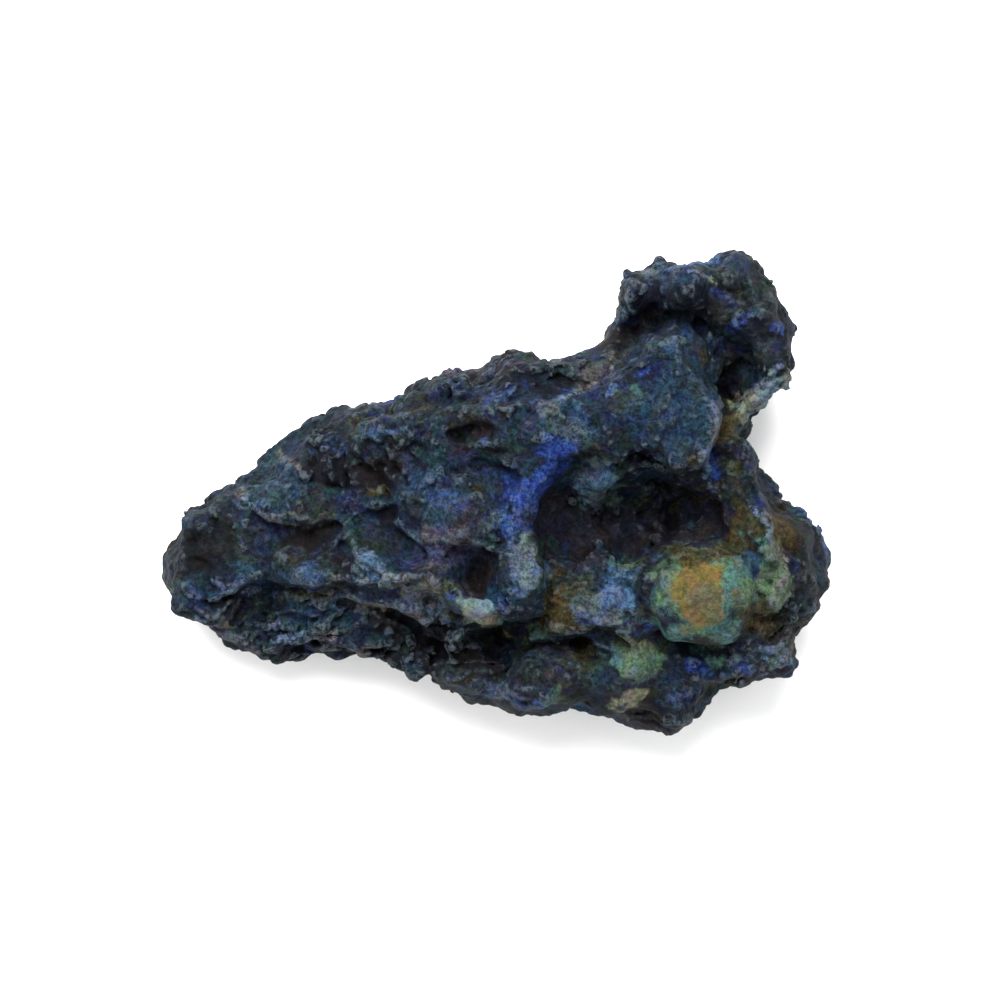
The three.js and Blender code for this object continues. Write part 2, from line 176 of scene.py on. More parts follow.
def blurred_top(field, radius=1.0):
    return blurred(top_of(field), radius)


def stone_share(field, radius):
    """The share of the floor round each of its points that has stone over it."""
    return blurred(np.float32(top_of(field) > 0), radius)


# --------------------
# Strokes: lips, ridges and grooves of the face, drawn in plan from above. A lip's low side is on the right
# of its line. Each has its points, its height or depth and how far it reaches sideways.

NODULE_MIDDLE = (31.5, -15)
NODULE_SIZES = (7.5, 7)
RING_CORNERS = 12


def ring(middle, sizes):
    """The points of an oval's outline, from its left end round to it again."""
    turns = math.pi + np.linspace(0, 2 * math.pi, RING_CORNERS + 1)
    return [(middle[0] + sizes[0] * math.cos(t), middle[1] + sizes[1] * math.sin(t)) for t in turns]


LIPS = [
    # tip
    ([(-43.5, -13.5), (-39.5, -14), (-35, -11.5)], 0.9, 2.0),
    ([(-49, -17.5), (-42.5, -19), (-38, -15.5), (-32, -13.5)], 2.2, 3.0),
    # shoulder and the step under it
    ([(-32, -13.5), (-25, -14), (-19, -15), (-13, -14)], 0.6, 1.2),
    ([(-24, -16.5), (-19, -18), (-13.5, -18.5), (-5.5, -25)], 2.4, 3.4),
    ([(-11.5, -15), (-6, -17), (-2.5, -20), (1.5, -20.5)], 2.4, 3.2),
    # knob, blue ridge and boss
    ([(-39, -3.5), (-31.5, -4), (-25, -4.5), (-23, -6)], 1.8, 3.0),
    ([(-23.5, -7), (-20.5, -9.5), (-16.5, -13)], 1.4, 2.0),
    ([(-15.5, -1), (-14, -5.5), (-8.5, -9)], 1.6, 2.4),
    # terraces of the lower flank
    ([(-41, -22), (-37, -20), (-32, -19)], 1.0, 1.5),
    ([(-38, -23.5), (-33, -21), (-30.5, -20.5)], 1.0, 1.5),
    ([(-31, -23), (-27, -22.5), (-23, -20)], 1.0, 1.5),
    ([(-35, -18.5), (-30, -18), (-25, -18)], 1.0, 1.5),
    # brow over the upper flank
    ([(21.5, 22), (18.5, 18.5), (6.5, 14), (-5, 14), (-10, 14)], 1.2, 2.6),
    ([(-14.5, 11.5), (-17.5, 11.5), (-25, 9)], 1.0, 2.0),
    # plate
    ([(31, 23), (29.5, 26), (24, 24.5), (22.5, 22.5)], 1.5, 2.4),
    ([(32, 5), (34.5, 12), (32, 18.5), (31, 22.5)], 1.6, 2.4),
    # tongue, and the deck below the nodule
    ([(0.5, -16), (2.5, -18.5), (6.5, -18), (7.5, -11.5)], 1.4, 2.2),
    ([(32.5, -30.5), (36.5, -28), (44, -27), (46.5, -19), (48, -16)], 2.0, 2.6),
    ([(33, -24.5), (38, -24), (44, -23)], 0.8, 1.6),
    ([(36.5, -27), (42.5, -26)], 0.8, 1.4),
    # front lobe of the horn
    ([(24, 26.5), (29.5, 27.5), (32.5, 26.5)], 1.2, 1.8),
    # low blocks under the vug
    ([(2, -22), (9.5, -22), (14, -23), (16, -25)], 1.0, 1.6),
    ([(5, -21.5), (12, -21.5), (18, -24)], 1.2, 1.8),
]
# Worn edges, which are thin ridges with a painted highlight along them: points and half width
WORN_HIGHLIGHT_LINES = [
    # knob and tip
    ([(-32.5, 7), (-29, 4)], 0.3),
    ([(-38, 2), (-38.5, -1), (-36, -3), (-28.5, -4)], 0.25),
    ([(-43, -13), (-39.5, -14.5), (-36, -12)], 0.3),
    ([(-46, -18), (-42.5, -19), (-39, -16), (-35, -15)], 0.35),
    # shoulder and boss
    ([(-22.5, -7), (-18, -12), (-12, -13)], 0.35),
    ([(-15, -4), (-10.5, -7)], 0.3),
    ([(-29.5, -12.5), (-20.5, -13.5), (-16.5, -13.5)], 0.35),
    ([(-10, -15), (-6, -18), (-4, -20.5)], 0.3),
    # lower flank
    ([(-38.5, -20.5), (-31.5, -19)], 0.25),
    ([(-35, -22.5), (-28.5, -20.5)], 0.25),
    ([(-29.5, -23), (-25.5, -22.5), (-22.5, -20.5)], 0.3),
    # brow, plate and horn
    ([(9.5, 14), (15.5, 17.5), (22.5, 22.5)], 0.3),
    ([(31.5, 22.5), (34, 15), (33, 9.5), (31, 4.5)], 0.3),
    ([(17, 24.5), (19.5, 29.5), (20.5, 33)], 0.25),
    ([(24, 34), (30.5, 34), (33.5, 31.5)], 0.25),
    ([(38, 14), (42, 18.5), (45, 21)], 0.35),
    ([(39.5, 13), (44, 18)], 0.3),
    # vug end
    ([(32.5, 6), (33, 0)], 0.3),
    ([(37.5, -1), (42, -5.5), (44.5, -11), (42, -16.5)], 0.35),
    ([(49, -14.5), (45.5, -22), (42, -27), (34.5, -29.5), (29, -36.5)], 0.3),
]
RIDGES = [
    ([(-32.5, 6), (-27.5, 2)], 0.8, 1.0),
    ([(38, 14), (39, 4.5), (43, -10), (44, -13), (41, -17)], 0.8, 0.9),
    ([(7.5, -11), (5.5, -3.5), (7.5, 3.5), (10, 6)], 0.7, 1.2),
]
GROOVES = [
    # creases between the lobes of the horn
    ([(30.5, 35), (33, 32), (33, 28.5)], 0.9, 0.7),
    ([(33, 30.5), (38.5, 31.5)], 0.8, 0.6),
    ([(37.5, 30.5), (38, 27.5), (37.5, 25)], 0.8, 0.6),
    # round the foot of the nodule
    (ring(NODULE_MIDDLE, NODULE_SIZES), 1.0, 0.8),
]
WORN_HEIGHT = 0.2
WORN_HIGHLIGHT_FRINGE = 2.6  # how far the pale colour reaches, in half widths
LIP_UNDERCUT = 0.3  # how far a lip overhangs for each millimetre below its top
LIP_EDGE = 0.45  # half width of the step at a lip's line
LIP_SHELF = 1.6  # how wide the cut under a lip is, in its reaches
LIP_CROWN = 0.25  # how far its high side is raised, as a share of its height
STROKE_SWAY = [(2.2, 0.5, 11), (0.9, 0.2, 13)]  # waves that bend strokes: spacing, reach and first seed
STROKE_KEEP_OFF = (0.6, 0.95)  # shares of stone round about over which strokes set in
STROKE_ENDS = 0.16  # share of its length over which a stroke fades out at either end
STROKE_REACHES = 3  # a stroke ends this many reaches from its line
STROKE_SPARE = 2  # and this much further out
FACE_DEPTH = (9.0, 6.5)  # strokes fade out between these depths below the top of the stone


def curve_through(points, steps=6):
    """A smooth line through points, as an array of its own points."""
    p = np.array([points[0], *points, points[-1]], float)
    t = (np.arange(steps) / steps)[:, None]
    made = [
        0.5 * (2 * b + (c - a) * t + (2 * a - 5 * b + 4 * c - d) * t**2 + (3 * b - a - 3 * c + d) * t**3)
        for a, b, c, d in zip(p, p[1:], p[2:], p[3:])
    ]
    return np.vstack([*made, p[-1:]])


def offset_from(points, x, y):
    """The distance to a line, positive on its right, and how far along it the nearest point lies, 0 to 1."""
    line = curve_through(points)
    nearest = np.full(x.shape, np.inf)
    signed = np.zeros(x.shape)
    share = np.zeros(x.shape)
    for n, (a, b) in enumerate(zip(line, line[1:])):
        e = b - a
        px, py = x - a[0], y - a[1]
        t = np.clip((px * e[0] + py * e[1]) / (e @ e), 0, 1)
        dx, dy = px - t * e[0], py - t * e[1]
        distance = np.hypot(dx, dy)
        closer = distance < nearest
        side = np.where(e[1] * px - e[0] * py > 0, 1, -1)
        nearest = np.where(closer, distance, nearest)
        signed = np.where(closer, side * distance, signed)
        share = np.where(closer, (n + t) / (len(line) - 1), share)
    return signed, share


def carve_strokes(field):
    """Carves the lips, ridges and grooves into the upper side of the stone."""
    top = blurred_top(field)
    face = smoothstep(*STROKE_KEEP_OFF, stone_share(field, 2.0))
    x, y = swayed(X, Y)
    worn_highlight = [(points, WORN_HEIGHT, 2 * width) for points, width in WORN_HIGHLIGHT_LINES]
    for kind, strokes in (("lip", LIPS), ("ridge", RIDGES + worn_highlight), ("groove", GROOVES)):
        for points, height, reach in strokes:
            carve_stroke(field, top, face, x, y, kind, points, height, reach)


def swayed(x, y):
    """Places in plan, pushed sideways so that strokes drawn with them waver."""
    places = np.stack([np.ravel(x), np.ravel(y), np.zeros(np.size(x))], axis=1)
    sway = [sum(reach * sampled(flat(noise(wave, seed + n, SHAPE[:2])), places)
                for wave, reach, seed in STROKE_SWAY) for n in (0, 1)]
    return x + sway[0].reshape(np.shape(x)), y + sway[1].reshape(np.shape(x))


def carve_stroke(field, top, face, x, y, kind, points, height, reach):
    """Carves one stroke, which fades out at its ends, down the walls and near the stone's outline."""
    room = STROKE_REACHES * reach + STROKE_SPARE
    low, high = np.min(points, axis=0) - room, np.max(points, axis=0) + room
    i0, i1 = np.searchsorted(AXES[0], (low[0], high[0]))
    j0, j1 = np.searchsorted(AXES[1], (low[1], high[1]))
    window = (slice(i0, i1), slice(j0, j1))
    side, share = offset_from(points, x[window], y[window])
    ends = smoothstep(0, STROKE_ENDS, share) * smoothstep(0, STROKE_ENDS, 1 - share)
    ends = ends * smoothstep(room, reach, np.abs(side)) * face[window]
    for k, z in enumerate(Z):
        below = np.maximum(top[window] - z, 0)
        depth_fade = ends * smoothstep(*FACE_DEPTH, below)
        if not depth_fade.any():
            continue
        if kind == "lip":
            s = side + LIP_UNDERCUT * np.minimum(below, height)
            cut = height * smoothstep(-LIP_EDGE, LIP_EDGE, s) * bell(np.maximum(s, 0), LIP_SHELF * reach)
            cut -= LIP_CROWN * height * smoothstep(LIP_EDGE, -LIP_EDGE, side) * bell(side, reach)
        else:
            cut = (1 if kind == "groove" else -1) * height * bell(side, reach)
        field[i0:i1, j0:j1, k] += np.float32(cut * depth_fade)


# --------------------
# Pits and crust

PITS = [
    # middle, half sizes, depth
    ((-45, -10.5), (1.5, 1), 0.8),
    ((-3, 9.5), (3, 1.5), 2.0),
    ((0.5, 6.5), (2, 0.5), 0.8),
    ((-19.5, 2), (5, 3), 1.2),
    ((4.5, -30.5), (2, 1), 0.6),
    ((22, -32.5), (2.5, 1), 0.6),
    ((-2.5, -12), (1.5, 3), 2.5),
    ((24, 27.5), (1.5, 2.5), 1.6),
    ((25, -3), (3, 4.5), 2.0),
]
PIT_EDGE = (1.25, 0.55)  # a pit sets in between these places, where 1 is its outline
PIT_RAGGED = (1.4, 0.3, 41)  # waves that eat into its outline: spacing, share and seed

# Where the walls are set in: middle, reach and how far, or out where that is negative
WALL_SHIFTS = [
    # tip and its upper side
    ((-50, -13), 3.5, -0.8), ((-49.5, -7), 2.5, 0.4), ((-43.5, -3), 4.0, -0.6), ((-40.5, 1.5), 3.5, -0.9),
    ((-35.2, 5.2), 4.0, 1.5), ((-32.5, 8), 3.0, 0.8), ((-7, 17), 4.0, -0.5), ((7, 20), 4.0, -0.8),
    # horn
    ((17.5, 27.5), 4.0, 1.1), ((20.5, 33.2), 2.5, -0.7), ((41.2, 31.8), 4.0, 0.5), ((45.5, 23.5), 3.5, -0.7),
    ((39.5, 11.5), 3.0, 0.9), ((39.5, 6), 4.0, 0.6),
    # vug end
    ((46, -4.2), 4.0, 1.5), ((47.5, -18), 4.0, -1.3), ((43.5, -27), 4.0, -0.7), ((31.5, -32), 3.5, -1.0),
    # lower side, back to the tip
    ((20.5, -33.5), 4.0, -1.1), ((1.5, -31.2), 4.0, -1.2), ((-9, -28.2), 3.5, 0.7), ((-17, -25.5), 4.0, 0.8),
    ((-40.5, -19.5), 4.0, -0.9), ((-43, -20.8), 3.0, -0.8), ((-47.5, -15.5), 3.0, -0.8),
]
SWELL = 0.3  # how far the walls are set out everywhere

# Rounded domes: middle, half sizes, height of the top above the face, and fall from there to the edge
DOMES = [(NODULE_MIDDLE, NODULE_SIZES, 1.2, 3.2)]
DOME_DEPTH = 4.5  # how far down a dome is set into the stone
DOME_EDGE = (1.25, 0.95)  # a dome sets in between these places, where 1 is its outline
DOME_RAGGED = (2.0, 0.05, 45)
DOME_CORE = 0.8  # part of it under which the face's height is taken
OVAL_EDGE = (1.3, 0.6)  # other ovals set in between these places

# Crusts of rounded bumps and plain waves: spacing, height and noise seed, coarse to fine
CRUSTS = [(4.4, 0.36, 21), (2.5, 0.34, 22), (1.5, 0.32, 23), (0.9, 0.29, 24), (0.55, 0.18, 25)]
WAVES = [(6.5, 0.36, 31), (3.4, 0.26, 32), (1.8, 0.18, 33)]
WARPS = [(6.0, 0.55), (2.6, 0.4), (1.3, 0.15)]  # waves that bend the forms: spacing and reach
CRUMBLE = [(3.4, 0.5, 35), (1.7, 0.25, 36)]  # extra waves in the hollows of the face
CRUMBLE_DEPTH = (1.0, 4.0)  # depths below the face round about between which they set in
CRUMBLE_ROUND = 4.0  # how far round about that is
CALM = 0.7  # how much less rough the domes are
CRUST_LEVEL = 0.8  # level of the bumps of a crust above its creases
CRUST_UNEVEN = (9.0, 0.35, 51)  # waves in the strength of crusts: spacing, share and seed
CRUST_LIMITS = (0.3, 1.7)  # weakest and strongest
COARSE_THORNS = (1.0, 0.55)  # width and height of thorns that are worn away before the crusts
FINE_THORNS = (0.6, 0.36)  # and after them
OUTLINE_SHARE = 0.75  # how strong the roughness is along the outline
OUTLINE_WIDTH = 3.0  # how far round about the share of stone is taken
OUTLINE_FROM = (0.75, 0.98)  # the outline ends between these shares of stone

# Overlapping shingles with steep ends
SHINGLE_PITCH = 3.0
SHINGLE_HEIGHT = 1.0
SHINGLE_TURN = 14.0  # degrees that the rows are turned
SHINGLE_LEAN = 0.5  # how much height counts in the rows
SHINGLE_BACK = 0.86  # share of a shingle that is its gentle back
SHINGLE_BENDS = [(7.0, 0.8, 61), (2.6, 0.3, 62)]  # waves that bend the rows: spacing, share and seed
SHINGLE_ZONES = [(1, -30, -20, 22, 7, -8), (0.8, -8, -22, 12, 6, -30), (0.7, 14, 19, 14, 3.5, 15),
                 (0.7, 42, 16, 4, 4)]
# Striped zones: height, oval, turn of the stripes, pitch and noise seed
STRIPES = [(0.32, (28.5, 30, 6, 5.5), 0, 0.7, 91), (0.25, (38.5, 30, 5.5, 5.5), 15, 0.8, 93),
           (0.35, (42, 16.5, 5, 3, 45), -40, 0.75, 92)]
STRIPE_BEND = (4.0, 0.35)  # waves that bend the stripes: spacing and share
MOST_STRIPES = 400


def shift_walls(field):
    """Sets the walls of the stone in and out."""
    plan = np.full(SHAPE[:2], -SWELL)
    for (px, py), reach, inward in WALL_SHIFTS:
        plan += inward * np.exp(-((X - px) ** 2 + (Y - py) ** 2) / reach**2)
    field += np.float32(plan)[:, :, None]


def ragged_oval(middle, sizes, wave, share, seed):
    """Where each point of the floor lies in an oval: 0 in its middle and 1 on its ragged outline."""
    return place_in_oval(X, Y, *middle, *sizes) + share * noise(wave, seed, SHAPE[:2])


def raise_domes(field):
    """Sets rounded domes on the upper side of the stone."""
    top = blurred_top(field)
    for middle, sizes, rise, sag in DOMES:
        near = ragged_oval(middle, sizes, *DOME_RAGGED)
        height = np.median(top[near < DOME_CORE]) + rise - sag * near**2
        dome = np.float32(np.clip(Z - height[:, :, None], -BAND, BAND))
        fade = np.float32(smoothstep(*DOME_EDGE, near))[:, :, None] * (dome > -DOME_DEPTH)
        field += fade * (dome - field)


def carve_pits(field):
    """Sinks the pits into the upper side of the stone."""
    top = blurred_top(field)
    for middle, sizes, depth in PITS:
        near = ragged_oval(middle, sizes, *PIT_RAGGED)
        plan = np.float32(depth * smoothstep(*PIT_EDGE, near))
        i, j = np.nonzero(plan)
        window = (slice(i.min(), i.max() + 1), slice(j.min(), j.max() + 1))
        for k, z in enumerate(Z):
            field[window + (k,)] += plan[window] * smoothstep(*FACE_DEPTH, np.maximum(top[window] - z, 0))


def bent(field):
    """The field with its forms bent sideways by waves, near the surface."""
    near = np.nonzero(np.abs(field) < BAND - 1)
    places = np.stack([(FIRST[n] + near[n]) * CELL for n in range(3)], axis=1)
    for wave, reach in WARPS:
        for axis in range(3):
            seed = int(100 * wave) + axis
            places[:, axis] += reach * noise(wave, seed)[near]
    made = field.copy()
    made[near] = sampled(field, places)
    return made


def ovals_weight(ovals, x, y, ragged=0.0):
    """The strength of the strongest of several ovals at places seen from above."""
    strongest = np.zeros(np.shape(x))
    for strength, *oval in ovals:
        near = place_in_oval(x, y, *oval) + ragged
        strongest = np.maximum(strongest, strength * smoothstep(*OVAL_EDGE, near))
    return strongest


def place_in_oval(x, y, cx, cy, rx, ry, turn=0):
    """Where places seen from above lie in an oval: 0 in its middle and 1 on its outline."""
    c, s = math.cos(math.radians(turn)), math.sin(math.radians(turn))
    return np.hypot((c * (x - cx) + s * (y - cy)) / rx, (c * (y - cy) - s * (x - cx)) / ry)


def stripes(turn, pitch, seed):
    """Uneven stripes across the floor, whose lines are turned from Y towards -X by so many degrees."""
    c, s = math.cos(math.radians(turn)), math.sin(math.radians(turn))
    wave, share = STRIPE_BEND
    across = (c * X + s * Y) / pitch + share * noise(wave, seed, SHAPE[:2])
    levels = np.random.default_rng(seed).standard_normal(MOST_STRIPES)
    place = np.arange(len(levels)) - len(levels) / 2
    return np.interp(across, place, levels)


def shingles():
    """The height of overlapping shingles over the stone, between -0.5 and 0.5."""
    turn = math.radians(SHINGLE_TURN)
    rows = (X * math.sin(turn) - Y * math.cos(turn))[:, :, None] - SHINGLE_LEAN * Z[None, None, :]
    phase = rows / SHINGLE_PITCH
    for wave, share, seed in SHINGLE_BENDS:
        phase += share * noise(wave, seed)
    t = phase - np.floor(phase)
    return np.float32(np.minimum(t / SHINGLE_BACK, (1 - t) / (1 - SHINGLE_BACK))) - 0.5


def roughen(field):
    """Adds shingles, waves, stripes and crusts of rounded bumps, in ever finer sizes."""
    zones = np.float32(ovals_weight(SHINGLE_ZONES, X, Y))[:, :, None]
    field -= SHINGLE_HEIGHT * zones * shingles()
    top = top_of(field)
    inner = smoothstep(*OUTLINE_FROM, stone_share(field, OUTLINE_WIDTH))[:, :, None]
    strength = OUTLINE_SHARE + (1 - OUTLINE_SHARE) * inner
    for wave, depth, seed in WAVES:
        field += strength * depth * noise(wave, seed)
    calm = 1 - CALM * ovals_weight([(1, *middle, *sizes) for middle, sizes, *_ in DOMES], X, Y)
    calm = np.float32(calm)[:, :, None]
    depth_below = blurred(top, CRUMBLE_ROUND)[:, :, None] - np.float32(Z)
    sunk = calm**2 * inner * smoothstep(*CRUMBLE_DEPTH, depth_below)
    for wave, depth, seed in CRUMBLE:
        field += sunk * depth * noise(wave, seed)
    blunt_thorns(field, *COARSE_THORNS)
    for height, oval, turn, pitch, seed in STRIPES:
        weight = ovals_weight([(1, *oval)], X, Y) * height * stripes(turn, pitch, seed)
        field -= np.float32(weight)[:, :, None] * smoothstep(*FACE_DEPTH, top[:, :, None] - Z)
    wave, share, seed = CRUST_UNEVEN
    strength = calm * strength * np.clip(1 + share * noise(wave, seed), *CRUST_LIMITS)
    for wave, height, seed in CRUSTS:
        field += strength * (CRUST_LEVEL - np.abs(noise(wave, seed))) * height
    blunt_thorns(field, *FINE_THORNS)


def blunt_thorns(field, width, height):
    """Wears away what stands out of the stone round about by more than height."""
    np.maximum(field, blurred(field, width) - height, out=field)


# --------------------
# The mesh


def mesh_of(field):
    """The corners and triangles of the field's surface, without stray crumbs, resting on the floor plane."""
    field = np.maximum(field, np.float32(LOW[2] - Z))
    grid = openvdb.FloatGrid(BAND)
    grid.transform = openvdb.createLinearTransform(CELL)
    grid.copyFromArray(np.clip(field, -BAND, BAND), ijk=tuple(int(n) for n in FIRST))
    points, triangles, quads = grid.convertToPolygons(isovalue=0, adaptivity=0)
    quads = quads.astype(np.int64)
    triangles = np.vstack([triangles.astype(np.int64), quads[:, [0, 1, 2]], quads[:, [0, 2, 3]]])
    return largest_part(points, triangles)


def largest_part(points, triangles):
    """Only the largest connected part of a mesh."""
    label = np.arange(len(points))
    while True:
        lowest = label[triangles].min(axis=1)
        before = label.copy()
        for n in range(3):
            np.minimum.at(label, triangles[:, n], lowest)
        label = label[label]
        if (label == before).all():
            break
    kept = label == np.bincount(label).argmax()
    triangles = triangles[kept[triangles[:, 0]]]
    number = np.cumsum(kept) - 1
    return points[kept], number[triangles]


def filling(points):
    """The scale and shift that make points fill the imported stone's box."""
    low, high = points.min(axis=0), points.max(axis=0)
    scale = (HIGH - LOW) / (high - low)
    return scale, LOW - low * scale


def new_object(name, points, triangles):
    mesh = bpy.data.meshes.new(name)
    mesh.vertices.add(len(points))
    mesh.vertices.foreach_set("co", np.float32(points * MM).ravel())
    mesh.loops.add(triangles.size)
    mesh.loops.foreach_set("vertex_index", triangles.astype(np.int32).ravel())
    mesh.polygons.add(len(triangles))
    mesh.polygons.foreach_set("loop_start", np.arange(0, triangles.size, 3, dtype=np.int32))
    mesh.update(calc_edges=True)
    mesh.validate()
    return placed(name, mesh)


def placed(name, data):
    """A new object in the scene."""
    made = bpy.data.objects.new(name, data)
    bpy.context.scene.collection.objects.link(made)
    return made


def thin_out(made, most):
    """Reduces an object to at most so many triangles."""
    share = most / len(made.data.polygons)
    if share >= 1:
        return
    modifier = made.modifiers.new("thin", "DECIMATE")
    modifier.ratio = share
    graph = bpy.context.evaluated_depsgraph_get()
    mesh = bpy.data.meshes.new_from_object(made.evaluated_get(graph))
    made.modifiers.clear()
    made.data = mesh


def build_stone():
    field = bent(packed_stone())
    carve_strokes(field)
    shift_walls(field)
    raise_domes(field)
    carve_pits(field)
    roughen(field)
    points, triangles = mesh_of(field)
    scale, shift = filling(points)
    stone = new_object("stone", points * scale + shift, triangles)
    thin_out(stone, MOST_TRIANGLES)
    stone.data.polygons.foreach_set("use_smooth", np.ones(len(stone.data.polygons), bool))
    corners = np.empty(len(stone.data.vertices) * 3, np.float32)
    stone.data.vertices.foreach_get("co", corners)
    add_minerals(stone.data, field, (corners.reshape(-1, 3) / MM - shift) / scale)
    return stone
